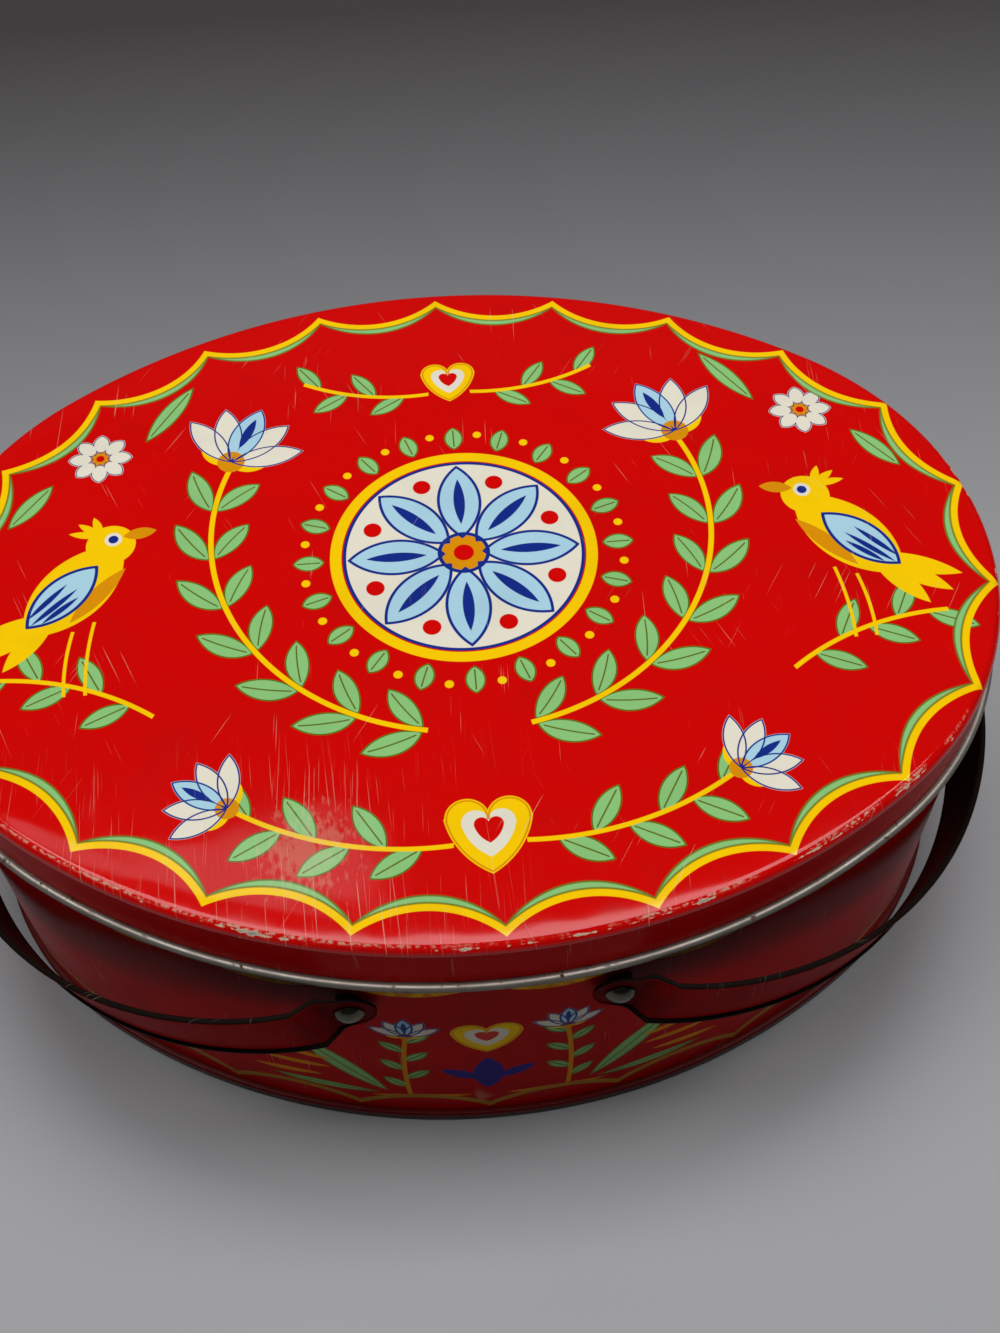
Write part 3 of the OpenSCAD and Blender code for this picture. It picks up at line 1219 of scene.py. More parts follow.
        # More chips on the front right of the shoulder: wear, and in part painted highlights standing
        # in for small dents.
        exposed = shoulder * (right_wear_and_glints * self.right_chips_and_glints + 1)
        rim = wear.chips(place, exposed, self.rim_level)
        bare = wear.chips(place, exposed, self.bare_level)
        colour = g.mix(rim, colour, Ink.PRIMER)
        colour = g.mix(bare, colour, Ink.TIN)
        waves = g.noise(place.point, size=44, detail=2.0, offset=17.0)
        dulled = smudge.above(0.5, 0.4) * 0.05
        roughness = self.roughness + dulled + scratch * 0.2 + bare * 0.25
        relief = waves * self.wave - rim * self.chip_depth - scratch * self.scratch_depth
        return g.finish(
            {"Specular IOR Level": self.gloss, "IOR": GLOSS_IOR},
            {"Base Color": colour, "Roughness": roughness, "Metallic": bare * 0.5},
            bump=relief, depth=1.0,
        )


@dataclass(frozen=True)
class WallPrint:
    """Printed outside of the wall: bottom scallops, top border and a panel on each long side."""

    oval: Oval
    low: float
    lid_low: float
    foot_cusp: float = 1.8
    foot_rise: float = 8.5
    foot_line: float = 2.6
    foot_soft: float = 0.3
    top_hidden: float = 3.6
    top_rise: float = 8.0
    top_green: float = 2.1
    top_yellow: float = 4.4
    line: float = 0.6
    ink_share: float = 0.94
    ink_soft: float = 0.25
    smudge: float = 0.14
    scratch: float = 0.4
    streak: float = 0.26
    streak_from: float = 140.0
    streak_soft: float = 14.0
    foot_worn: float = 1.0
    foot_worn_half: float = 3.0
    bare_level: float = 1.22
    gloss: float = 0.01
    roughness: float = 0.16
    wave: float = 0.35
    chip_depth: float = 0.03

    def draw(self, panel: Place) -> Plates:
        """Draws a long side on its plates, mirrored at its middle.

        Args:
            panel: Place with the length from the middle of the side and the height.

        Returns:
            The plates.
        """
        plates = Plates(panel.graph)
        motifs = Motifs(plates, self.line, Ink.AMBER)
        blades = (((46, 40), (62, 43)), ((47, 34), (68, 34)), ((50, 27), (72, 25)))
        motifs.heart(panel, centre=(0.0, 62.0), size=20.0)
        plates.add(Ink.DARK_BLUE, panel.leaf((0.0, 22.0), (0.0, 46.0), half=4.6))
        plates.add(Ink.DARK_BLUE, panel.leaf((2.0, 30.0), (14.0, 38.0), half=2.6))
        plates.add(Ink.AMBER, panel.leaf((5.0, 17.0), (36.0, 15.5), half=1.3))
        motifs.sprig(panel, (24.0, 18.0), (23.0, 62.0), bulge=-1.0, leaves=6, size=10.0)
        motifs.fan_flower(panel, foot=(23.0, 62.0), turn=0.0, size=13.0)
        motifs.leaf(panel, (31.0, 20.0), (56.0, 56.0), half=3.6)
        motifs.leaf(panel, (34.0, 18.0), (66.0, 21.0), half=2.0)
        for start, end in blades:
            plates.add(Ink.AMBER, panel.leaf(start, end, half=1.4))
        return plates

    def printed(self, place: Place) -> bpy.types.NodeSocket:
        """Prints the ground, the panels and the two borders.

        Args:
            place: Place in the frame of the tin.

        Returns:
            The colour of the unworn print.
        """
        g = place.graph
        along, _ = self.oval.read(place)
        blotch = g.noise(place.point, size=40)
        # Deep red takes most of the ground: random tone, and in part painted shade of the upright wall.
        colour = g.mix(0.35 + blotch * 0.8, Ink.RED, Ink.DEEP_RED)
        panel = place.on_plane(self.oval.quarter - along, place.z)
        colour = self.draw(panel).pressed(colour, self.ink_share, self.ink_soft)
        row = Scallops(self.oval)
        foot = row.beyond(place, along, place.z, self.low + self.foot_cusp, self.foot_rise)
        half = self.foot_line / 2
        colour = g.mix((abs(foot - half) - half).inside(self.foot_soft), colour, Ink.OCHRE)
        depth = self.lid_low + self.top_hidden - place.z
        past = row.beyond(place, along, depth, 0.0, self.top_rise)
        kept = g.noise(place.point, size=4.0, offset=23.0).above(0.5, 0.3) * 0.5 + 0.3
        green = (-past).most(past - self.top_green)
        colour = g.mix(green.inside() * kept, colour, Ink.GREEN)
        yellow = (past - self.top_yellow).most(self.top_green - past)
        return g.mix(yellow.inside() * kept, colour, Ink.YELLOW)

    def material(self) -> bpy.types.Material:
        """Makes the printed and worn finish of the wall.

        Returns:
            The material.
        """
        g = Graph("printed_wall_finish")
        place = g.place()
        colour = self.printed(place)
        wear = Wear()
        smudge = g.noise(place.point, size=16, detail=4.0, offset=5.0)
        colour = g.mix(smudge.above(0.6, 0.3) * self.smudge, colour, Ink.BLACK)
        scratch = wear.scratches(place, turns=(90, 70, 20), level=0.74)
        colour = g.mix(scratch * self.scratch, colour, Ink.PRIMER)
        # Pale vertical streaks towards both ends of the wall.
        fine = g.noise(place.point, size=1.1, detail=2.0, stretch=(1, 1, 26), offset=41.0)
        pale_marks = abs(place.x).above(self.streak_from, self.streak_soft) * fine.above(0.6, 0.14)
        colour = g.mix(pale_marks * self.streak, colour, Ink.PRIMER)
        exposed = 1 - abs(place.z - self.low - self.foot_worn) / self.foot_worn_half
        bare = wear.chips(place, exposed.most(0.0), self.bare_level)
        colour = g.mix(bare, colour, Ink.DULL_TIN)
        roughness = self.roughness + smudge * 0.12 + scratch * 0.15 + bare * 0.2
        waves = g.noise(place.point, size=60, detail=1.0, offset=17.0)
        return g.finish(
            {"Specular IOR Level": self.gloss, "IOR": GLOSS_IOR},
            {"Base Color": colour, "Roughness": roughness, "Metallic": bare},
            bump=waves * self.wave - bare * self.chip_depth, depth=1.0,
        )


@dataclass(frozen=True)
class BareTin:
    """Unprinted tinplate, dulled and spotted with rust."""

    name: str
    bright: Ink = Ink.TIN
    spots: float = 0.66
    base_rough: float = 0.24
    metal: float = 1.0
    dull: Ink = Ink.DULL_TIN
    dull_share: float = 0.6
    rust_metal: float = 0.9
    gloss: float = 0.5

    def ground(self, place: Place, cloud: Value) -> bpy.types.NodeSocket:
        """Colour of the metal without its rust."""
        return place.graph.mix(cloud.above(0.5, 0.5) * self.dull_share, self.bright, self.dull)

    def material(self) -> bpy.types.Material:
        """Makes the bare finish.

        Returns:
            The material.
        """
        g = Graph(self.name)
        place = g.place()
        cloud = g.noise(place.point, size=12, detail=4.0)
        grain = g.noise(place.point, size=0.5, detail=2.0, stretch=(14, 1, 14), turn=0.5)
        spot = g.noise(place.point, size=2.2, detail=4.0, offset=9.0).above(self.spots, 0.06)
        patch = g.noise(place.point, size=30, detail=2.0, offset=21.0).above(0.5, 0.2)
        rust = spot * patch
        colour = g.mix(rust, self.ground(place, cloud), Ink.RUST)
        roughness = self.base_rough + cloud * 0.2 + grain * 0.08 + rust * 0.4
        metallic = self.metal - rust * self.rust_metal * self.metal
        return g.finish(
            {"Specular IOR Level": self.gloss},
            {"Base Color": colour, "Roughness": roughness, "Metallic": metallic},
            bump=grain * 0.3 + cloud, depth=0.02,
        )


@dataclass(frozen=True)
class BeadTin(BareTin):
    """Bare rolled edge, bare tin on top and brown below, with tarnish and painted shade."""

    shade_and_tarnish_from: float = 0.0
    shade_and_tarnish_soft: float = 1.0
    shade_and_tarnish: float = 0.8

    def ground(self, place: Place, cloud: Value) -> bpy.types.NodeSocket:
        """Bare tin above and brown below, where tarnish and painted shade darken the roll."""
        # Painted shade and tarnish: brown mixed into the lower part of the roll.
        below = place.z.above(self.shade_and_tarnish_from, -self.shade_and_tarnish_soft) * self.shade_and_tarnish
        return place.graph.mix(below, super().ground(place, cloud), Ink.BROWN_TIN)


@dataclass(frozen=True)
class Lacquer:
    """Gloss lacquer on tinplate, chipped and rubbed."""

    name: str
    ink: Ink
    shade: Ink
    chip_level: float = 1.12
    shade_share: float = 0.6
    gloss: float = 0.1
    chip_size: float = 1.8
    scratch: float = 0.3
    roughness: float = 0.2

    def ground(self, place: Place, cloud: Value) -> bpy.types.NodeSocket:
        """Colour of the unworn lacquer."""
        return place.graph.mix(cloud * self.shade_share, self.ink, self.shade)

    def material(self) -> bpy.types.Material:
        """Makes the lacquered finish.

        Returns:
            The material.
        """
        g = Graph(self.name)
        place = g.place()
        cloud = g.noise(place.point, size=22)
        wear = Wear(chip_size=self.chip_size)
        pale_marks = wear.scratches(place, turns=(12, 78), level=0.73)
        bare = wear.chips(place, cloud * 0.3, self.chip_level)
        colour = g.mix(pale_marks * self.scratch, self.ground(place, cloud), Ink.PRIMER)
        colour = g.mix(bare, colour, Ink.TIN)
        roughness = self.roughness + cloud * 0.2 + bare * 0.1
        return g.finish(
            {"Specular IOR Level": self.gloss, "IOR": GLOSS_IOR},
            {"Base Color": colour, "Roughness": roughness, "Metallic": bare * 0.5},
            bump=cloud * 0.3 - bare * 0.2, depth=0.1,
        )


@dataclass(frozen=True)
class RimLacquer(Lacquer):
    """Dark lacquer of the bottom, under the red that runs over the upper part of its rim."""

    red_from: float = 2.2
    red_soft: float = 1.8

    def ground(self, place: Place, cloud: Value) -> bpy.types.NodeSocket:
        """Dark below and red at the top of the rim."""
        dark = super().ground(place, cloud)
        return place.graph.mix(place.z.above(self.red_from, self.red_soft), dark, Ink.DARK_RED)


@dataclass(frozen=True)
class EarLacquer(Lacquer):
    """Lacquer of the handles, with painted shade round the rivets in their ears, where the lid's rolled
    edge shades them.
    """

    pivot: Point = (0.0, 0.0)
    rivet_shade_r: float = 13.0
    rivet_shade_soft: float = 10.0
    rivet_shade: float = 0.62

    def ground(self, place: Place, cloud: Value) -> bpy.types.NodeSocket:
        """Darkens the lacquer towards the rivets of either handle, as painted shade.

        Args:
            place: Place in the frame of the tin.
            cloud: Noise that the shades follow.

        Returns:
            The colour of the unworn lacquer.
        """
        side_on = place.on_plane(abs(place.x), place.z)
        # Painted shade: black mixed in round the rivets, under the lid's rolled edge.
        near = side_on.from_point(self.pivot).above(self.rivet_shade_r, -self.rivet_shade_soft)
        return place.graph.mix(near * self.rivet_shade, super().ground(place, cloud), Ink.BLACK)


@dataclass(frozen=True)
class Tile:
    """Rectangle of a texture that a part of a piece is laid on."""

    left: float
    low: float
    width: float
    height: float

    def at(self, across: float, up: float) -> Point:
        """Place on the texture of a place on the tile, both from 0 to 1."""
        return self.left + across * self.width, self.low + up * self.height


@dataclass(frozen=True)
class Shell(ABC):
    """Sheet carried round the oval, with its faces sorted to its finishes."""

    oval: Oval

    @abstractmethod
    def section(self) -> list[Point]:
        """Section of the sheet as (distance out, height)."""

    @abstractmethod
    def part(self, middle: Vector, normal: Vector) -> Enum:
        """Part that a face of that middle and normal belongs to."""

    def add_details(self, bm: bmesh.types.BMesh) -> None:
        """Adds what isn't carried round, which is nothing on a plain shell."""

    def carried(self, closed: bool) -> bmesh.types.BMesh:
        """Carries the section round the oval, closes the shell and sorts its faces.

        Args:
            closed: Whether the section's last point joins its first.

        Returns:
            The mesh in millimetres.
        """
        bm = bmesh.new()
        self.oval.sweep(bm, self.section(), closed)
        self.add_details(bm)
        rings = [e for e in bm.edges if e.is_boundary]
        if rings:
            bmesh.ops.holes_fill(bm, edges=rings, sides=0)
        bmesh.ops.recalc_face_normals(bm, faces=bm.faces)
        for face in bm.faces:
            face.material_index = self.part(face.calc_center_median(), face.normal).value
        return bm


@dataclass(frozen=True)
class Lid(Shell):
    """Lid of one sheet: flat top, round shoulder, skirt and a rolled edge."""

    top: float
    low: float
    sheet: float = 0.4
    gap: float = 0.4
    shoulder_r: float = 3.0
    shoulder_steps: int = 10
    bead_r: float = 1.3
    bead_steps: int = 18
    bead_shade_line_share: float = 1.5
    crease: float = 0.15
    crease_depth: float = 0.7
    rings: tuple[float, ...] = (-60.0, -36.0, -18.0, -8.0)
    top_tile: Tile = Tile(0.0, 0.24, 1.0, 0.76)
    skirt_tile: Tile = Tile(0.0, 0.17, 1.0, 0.06)
    bead_tile: Tile = Tile(0.0, 0.11, 1.0, 0.05)
    inside_tile: Tile = Tile(0.0, 0.0, 0.74, 0.1)
    underside_tile: Tile = Tile(0.76, 0.0, 0.24, 0.1)

    @property
    def out(self) -> float:
        """Distance of the skirt's outside from the wall."""
        return self.gap + self.sheet

    @property
    def bead_top(self) -> float:
        """Height of the top of the rolled edge."""
        return self.low + 2 * self.bead_r

    @property
    def bead_shade_line(self) -> float:
        """Height below which the rolled edge is painted brown, for tarnish and painted shade."""
        return self.low + self.bead_shade_line_share * self.bead_r

    @property
    def half_width(self) -> float:
        """Half of the lid's width over its rolled edge."""
        return self.oval.half_width + self.gap + 2 * self.bead_r

    def section(self) -> list[Point]:
        """Runs from the middle of the top, round the rolled edge, to the middle of the underside.

        Returns:
            The section as (distance out, height).
        """
        turn = (self.out - self.shoulder_r, self.top - self.shoulder_r)
        bead = (self.gap + self.bead_r, self.low + self.bead_r)
        start = math.degrees(math.acos((self.sheet + self.crease - self.bead_r) / self.bead_r))
        return [
            *[(u, self.top) for u in self.rings],
            *arc(turn, self.shoulder_r, 90, 0, self.shoulder_steps),
            (self.out, self.bead_top),
            (self.out, self.bead_top - self.crease_depth),
            (self.out + self.crease, self.bead_top - self.crease_depth),
            *arc(bead, self.bead_r, start, -180, self.bead_steps),
            *arc(turn, self.shoulder_r - self.sheet, 0, 90, self.shoulder_steps),
            *[(u, self.top - self.sheet) for u in reversed(self.rings)],
        ]

    def part(self, middle: Vector, normal: Vector) -> LidPart:
        """Sorts a face by its place and direction.

        Args:
            middle: Middle of the face.
            normal: Its normal.

        Returns:
            The part of the lid.
        """
        _, out, outward = self.oval.where(middle.x, middle.y)
        if middle.z < self.bead_top and out > self.gap:
            return LidPart.BEAD
        if normal.z + normal.dot(outward) < 0:
            return LidPart.INSIDE
        return LidPart.TOP if middle.z > self.top - self.shoulder_r else LidPart.SKIRT

    def build(self, top: bpy.types.Material, skirt: bpy.types.Material, bead: bpy.types.Material,
              bare: bpy.types.Material) -> bpy.types.Object:
        """Makes the lid.

        Args:
            top: Printed finish of the top and its shoulder.
            skirt: Finish of the skirt.
            bead: Finish of the rolled edge.
            bare: Finish of the inside.

        Returns:
            The piece.
        """
        bm = self.carried(closed=False)
        layer = bm.loops.layers.uv.new(BAKE_MAP)
        for face in bm.faces:
            part = LidPart(face.material_index)
            middle = face.calc_center_median()
            for loop in face.loops:
                loop[layer].uv = self.texture_place(part, middle, loop.vert.co)
        return finished(bm, "lid_shell", [top, skirt, bead, bare])

    def texture_place(self, part: LidPart, middle: Vector, spot: Vector) -> Point:
        """Lays a corner on the lid's texture: the printed top large, the rest in strips below it.

        Args:
            part: Part of the lid.
            middle: Middle of the face.
            spot: Corner of the face.

        Returns:
            Place on the texture.
        """
        _, out, outward = self.oval.where(spot.x, spot.y)
        turn = self.oval.share_round(spot, middle)
        start = self.out - self.shoulder_r
        reach = start + self.shoulder_r * math.pi / 2
        long, wide = 2 * (self.oval.half_length + reach), 2 * (self.oval.half_width + reach)
        if part is LidPart.TOP:
            over = min(max(out - start, 0.0), self.shoulder_r)
            unrolled = spot + outward * (self.shoulder_r * math.asin(over / self.shoulder_r) - over)
            return self.top_tile.at(0.5 + unrolled.x / long, 0.5 + unrolled.y / wide)
        if part is LidPart.SKIRT:
            height = self.top - self.shoulder_r - self.bead_top
            return self.skirt_tile.at(turn, (spot.z - self.bead_top) / height)
        if part is LidPart.BEAD:
            centre = Vector((self.gap + self.bead_r, self.low + self.bead_r))
            near = self.oval.where(middle.x, middle.y)[1]
            face_angle = math.atan2(middle.z - centre.y, near - centre.x)
            angle = math.atan2(spot.z - centre.y, out - centre.x)
            angle += 2 * math.pi * round((face_angle - angle) / (2 * math.pi))
            return self.bead_tile.at(turn, 0.5 + angle / (2 * math.pi))
        if middle.z > self.top - self.sheet - self.crease:
            return self.underside_tile.at(0.5 + spot.x / long, 0.5 + spot.y / wide)
        height = self.top - self.low + self.shoulder_r
        return self.inside_tile.at(turn, (spot.z - self.low + self.gap - out) / height)


@dataclass(frozen=True)
class Wall(Shell):
    """Wall strip of the tin with a rolled top edge and a folded seam inside its left end."""

    top: float
    low: float
    sheet: float = 0.4
    foot_h: float = 20.0
    hem_r: float = 2.2
    hem_turn: float = 270.0
    hem_steps: int = 22
    seam_w: float = 6.0
    seam_t: float = 0.8
    seam_low: float = 4.4
    seam_steps: int = 6

    def section(self) -> list[Point]:
        """Runs up the outside, round the rolled edge and down the inside.

        Returns:
            The closed section as (distance out, height).
        """
        hem = (-self.hem_r, self.top - self.hem_r)
        return [
            (0, self.low),
            (0, self.low + self.foot_h),
            *arc(hem, self.hem_r, 0, self.hem_turn, self.hem_steps),
            *arc(hem, self.hem_r - self.sheet, self.hem_turn, 0, self.hem_steps),
            (-self.sheet, self.low + self.foot_h),
            (-self.sheet, self.low),
        ]

    def part(self, middle: Vector, normal: Vector) -> Coat:
        """Sorts a face to the printed outside, or to the bare rolled edge and inside.

        Args:
            middle: Middle of the face.
            normal: Its normal.

        Returns:
            The finish of the face.
        """
        _, out, outward = self.oval.where(middle.x, middle.y)
        outside = out > -self.sheet / 2 and middle.z < self.top - self.hem_r
        return Coat.OUTER if outside and normal.dot(outward) > 0 else Coat.INNER

    def add_details(self, bm: bmesh.types.BMesh) -> None:
        """Adds the folded seam to the inside of the left end.

        Args:
            bm: Mesh of the wall in millimetres.
        """
        inner = -self.oval.half_length + self.sheet / 2
        deep = inner + (self.sheet / 2 + self.seam_t)
        high = self.top - 2 * self.hem_r
        corners = [(inner, self.seam_low), (deep, self.seam_low), (deep, high), (inner, high)]
        verts = [bm.verts.new((x, 0, z)) for x, z in corners]
        face = bm.faces.new(verts)
        turn = self.seam_w / self.oval.end_r
        middle = (-self.oval.end_x, 0, 0)
        bmesh.ops.rotate(bm, verts=verts, cent=middle, matrix=Matrix.Rotation(-turn / 2, 3, "Z"))
        bmesh.ops.spin(
            bm, geom=[face], cent=middle, axis=(0, 0, 1), angle=turn, steps=self.seam_steps,
            use_merge=False,
        )

    def build(self, finish: bpy.types.Material, bare: bpy.types.Material) -> bpy.types.Object:
        """Makes the wall of its printed outside and its bare inside and rolled edge."""
        return finished(self.carried(closed=True), "wall_shell", [finish, bare])


@dataclass(frozen=True)
class Bottom(Shell):
    """Bottom panel, seamed round the lower edge of the wall."""

    rim_h: float = 4.6
    rim_proud: float = 1.8
    rim_round: float = 0.7
    rim_steps: int = 6
    recess: float = 3.6
    sheet: float = 0.4
    fold_gap: float = 0.05
    level_from: float = 0.5
    rings: tuple[float, ...] = (-60.0, -30.0, -8.0)

    def section(self) -> list[Point]:
        """Runs from the top of the panel, round the seam, to its underside.

        Returns:
            The section as (distance out, height).
        """
        leg_out = -self.sheet - self.fold_gap
        leg_in = leg_out - self.sheet
        low = (self.rim_proud - self.rim_round, self.rim_round)
        high = (self.rim_proud - self.rim_round, self.rim_h - self.rim_round)
        return [
            *[(u, self.recess + self.sheet) for u in self.rings],
            (leg_out, self.recess + self.sheet),
            (leg_out, self.sheet),
            (self.fold_gap, self.sheet),
            (self.fold_gap, self.rim_h),
            *arc(high, self.rim_round, 90, 0, self.rim_steps),
            *arc(low, self.rim_round, 0, -90, self.rim_steps),
            (leg_in, 0),
            (leg_in, self.recess),
            *[(u, self.recess) for u in reversed(self.rings)],
        ]

    def part(self, middle: Vector, normal: Vector) -> Coat:
        """Sorts a face to the bare inside or to the lacquer elsewhere."""
        _, out, _ = self.oval.where(middle.x, middle.y)
        return Coat.INNER if normal.z > self.level_from and out < 0 else Coat.OUTER

    def build(self, finish: bpy.types.Material, bare: bpy.types.Material) -> bpy.types.Object:
        """Makes the bottom of its lacquered underside and rim and its bare inside."""
        return finished(self.carried(closed=False), "bottom_shell", [finish, bare])


@dataclass(frozen=True)
class Handle:
    """Strap handle with rolled edges, whose ends are set in to flat ears."""

    side: Side
    pivot: Vector
    oval: Oval
    lid_half_width: float
    strap_w: float = 22.0
    strap_t: float = 0.7
    strap_rise: float = 2.5
    strap_pass: float = 0.6
    curl_r: float = 0.9
    corner_r: float = 90.0
    droop: float = 16.0
    hang_gap: float = 0.3
    ear_r: float = 7.5
    ear_flat: float = 5.25
    ear_stand: float = 3.2
    bend_run: float = 5.0
    side_run: float = 1.5
    bend_slant: float = 0.05
    curl_end: float = 1.0
    least_curl: float = 0.35
    red_tip: float = 0.0
    red_wrap: int = 5
    lower_black_and_shade: int = 1
    hole_r: float = 2.06
    hole_sides: int = 32
    drill_span: float = 3.0
    facet: float = 2.5
    across_steps: int = 16
    curl_steps: int = 14
    bend_steps: int = 8
    ear_steps: int = 14
    ear_share: float = 0.9
    tip_shares: tuple[float, ...] = (0.95, 0.985, 0.999)

    @property
    def low(self) -> float:
        """Height of the middle of the lower rolled edge."""
        return self.strap_rise - self.strap_w / 2

    @property
    def high(self) -> float:
        """Height of the middle of the upper rolled edge."""
        return self.strap_rise + self.strap_w / 2

    @property
    def strap_y(self) -> float:
        """Distance of the strap from the middle of the tin, just clear of the lid."""
        return self.lid_half_width + self.strap_pass + self.strap_t / 2

    @property
    def ear_y(self) -> float:
        """Distance of the ears from the middle of the tin."""
        wall = math.sqrt(self.oval.side_r**2 - self.pivot.x**2) - self.oval.side_y
        return wall + self.ear_stand + self.strap_t / 2

    @property
    def bend_x(self) -> float:
        """Distance from the pivot to the end of the bend."""
        return self.ear_flat + self.bend_run

    @property
    def corner_x(self) -> float:
        """Distance from the pivot to the start of the corner."""
        return self.bend_x + self.side_run

    @property
    def reach(self) -> float:
        """Works out how long the loop is, from its lower edge hanging just off the end of the tin.

        Returns:
            The distance from the pivot to the middle of the loop.
        """
        droop = math.radians(self.droop)
        hang_x = self.oval.half_length + self.hang_gap + self.curl_r - abs(self.pivot.x)
        return (hang_x - self.low * math.sin(droop)) / math.cos(droop) - self.strap_t / 2

    def section(self) -> list[Point]:
        """Runs up the inner face, round the upper curl, down the outer face and round the lower curl.

        Returns:
            The section of the strap as (distance out, height).
        """
        half = self.strap_t / 2
        lean = math.degrees(math.acos(2 * half / self.curl_r))
        upper = arc((half, self.high), self.curl_r, 180 + lean, -90, self.curl_steps)
        lower = arc((half, self.low), self.curl_r, 90, -180 - lean, self.curl_steps)
        step = self.strap_w / self.across_steps
        across = [self.low + step * i for i in range(1, self.across_steps)]
        inner = [(-half, w) for w in across]
        outer = [(half, w) for w in reversed(across)]
        return [*inner, *upper, *outer, *lower]

    def ear_point(self, x: float, out: float, height: float) -> Vector:
        """Place on the ear of a point of the section.

        Args:
            x: Distance from the pivot along the strap.
            out: Distance out from the middle of the strap.
            height: Height in the section.

        Returns:
            The point in the handle's own frame.
        """
        curl = (x - self.curl_end) / (self.ear_flat - self.curl_end)
        curl = min(1.0, max(self.least_curl, curl))
        middle = min(max(height, self.low), self.high)
        edge = height - middle
        half = self.strap_t / 2
        if x >= 0:
            share = min(1.0, x / self.bend_x)
            top = self.ear_r + (self.high - self.ear_r) * share
            bottom = -self.ear_r + (self.low + self.ear_r) * share
        else:
            top = math.sqrt(max(0.0, self.ear_r**2 - x * x))
            bottom = -top
        share = (middle - self.low) / self.strap_w
        level = bottom + (top - bottom) * share + edge * curl
        if abs(out) > half or edge:
            out = half + (out - half) * curl
        ramp = (x - self.bend_slant * (height - self.strap_rise) - self.ear_flat) / self.bend_run
        ramp = min(1.0, max(0.0, ramp))
        return Vector((x, self.ear_y + (self.strap_y - self.ear_y) * ramp + out, level))

    def stations(self) -> list[float]:
        """Places the rings of the ear, from the strap to the ear's tip.

        Returns:
            Their distances from the pivot.
        """
        bend = [self.bend_x - self.bend_run * i / self.bend_steps for i in range(self.bend_steps + 1)]
        flat = self.ear_flat + self.ear_share * self.ear_r
        face = [self.ear_flat - flat * i / self.ear_steps for i in range(1, self.ear_steps + 1)]
        tip = [-self.ear_r * share for share in self.tip_shares]
        return [self.bend_x + self.strap_t, *bend, *face, *tip]

    def half_loop(self) -> bmesh.types.BMesh:
        """Makes half of the handle in its own level frame, with the pivot at the origin.

        Returns:
            The mesh in millimetres, open at the middle of the loop.
        """
        bm = bmesh.new()
        mark = bm.verts.layers.int.new("section_point")
        section = self.section()
        verts = [bm.verts.new((self.corner_x, self.strap_y + n, w)) for n, w in section]
        for number, vert in enumerate(verts):
            vert[mark] = number
        ring = [bm.edges.new(pair) for pair in zip(verts, verts[1:] + verts[:1])]
        corner_y = self.strap_y - self.corner_r
        extra = self.reach - self.corner_x - self.corner_r
        bow_r = self.corner_r + (extra * extra + corner_y * corner_y) / (2 * extra)
        bow_x = self.reach - bow_r
        bow = math.atan2(corner_y, self.corner_x - bow_x)
        arcs = [
            ((self.corner_x, corner_y), self.corner_r, bow - math.pi / 2),
            ((bow_x, 0), bow_r, -bow),
        ]
        carry_round(bm, verts + ring, arcs, self.facet)
        for x in self.stations():
            drawn = bmesh.ops.extrude_edge_only(bm, edges=ring)["geom"]
            ring = [e for e in drawn if isinstance(e, bmesh.types.BMEdge) and e.is_boundary]
            for vert in {v for edge in ring for v in edge.verts}:
                vert.co = self.ear_point(x, *section[vert[mark]])
        bmesh.ops.edgeloop_fill(bm, edges=ring)
        first = self.across_steps - 1 + self.curl_steps - self.red_wrap
        # The lowest face of the outer side stays black: edge print, and in part painted shade along the
        # lower curl.
        last = first + self.red_wrap + self.across_steps - self.lower_black_and_shade
        for face in bm.faces:
            points = [v[mark] for v in face.verts]
            outer = first <= min(points) and max(points) <= last
            tip = face.calc_center_median().x < self.red_tip and min(points) >= last
            coat = Coat.OUTER if outer or tip else Coat.INNER
            face.material_index = coat.value
        return bm

    def build(self, outer: bpy.types.Material, black: bpy.types.Material) -> bpy.types.Object:
        """Makes the handle where it hangs at rest.

        Args:
            outer: Finish of the outside.
            black: Finish of the inside and the rolled edges.

        Returns:
            The piece.
        """
        bm = self.half_loop()
        whole = bm.verts[:] + bm.edges[:] + bm.faces[:]
        bmesh.ops.mirror(bm, geom=whole, axis="Y", merge_dist=MERGE)
        bmesh.ops.remove_doubles(bm, verts=bm.verts, dist=FINE_MERGE)
        bmesh.ops.recalc_face_normals(bm, faces=bm.faces)
        hang = Matrix.Rotation(math.radians(self.droop), 3, "Y")
        bmesh.ops.rotate(bm, verts=bm.verts, cent=(0, 0, 0), matrix=hang)
        if self.side is Side.LEFT:
            bmesh.ops.scale(bm, vec=(-1, 1, 1), verts=bm.verts)
            bmesh.ops.reverse_faces(bm, faces=bm.faces)
        bmesh.ops.translate(bm, vec=(self.pivot.x, 0, self.pivot.z), verts=bm.verts)
        return self.drilled(finished(bm, f"{self.side.name.lower()}_strap", [outer, black]))

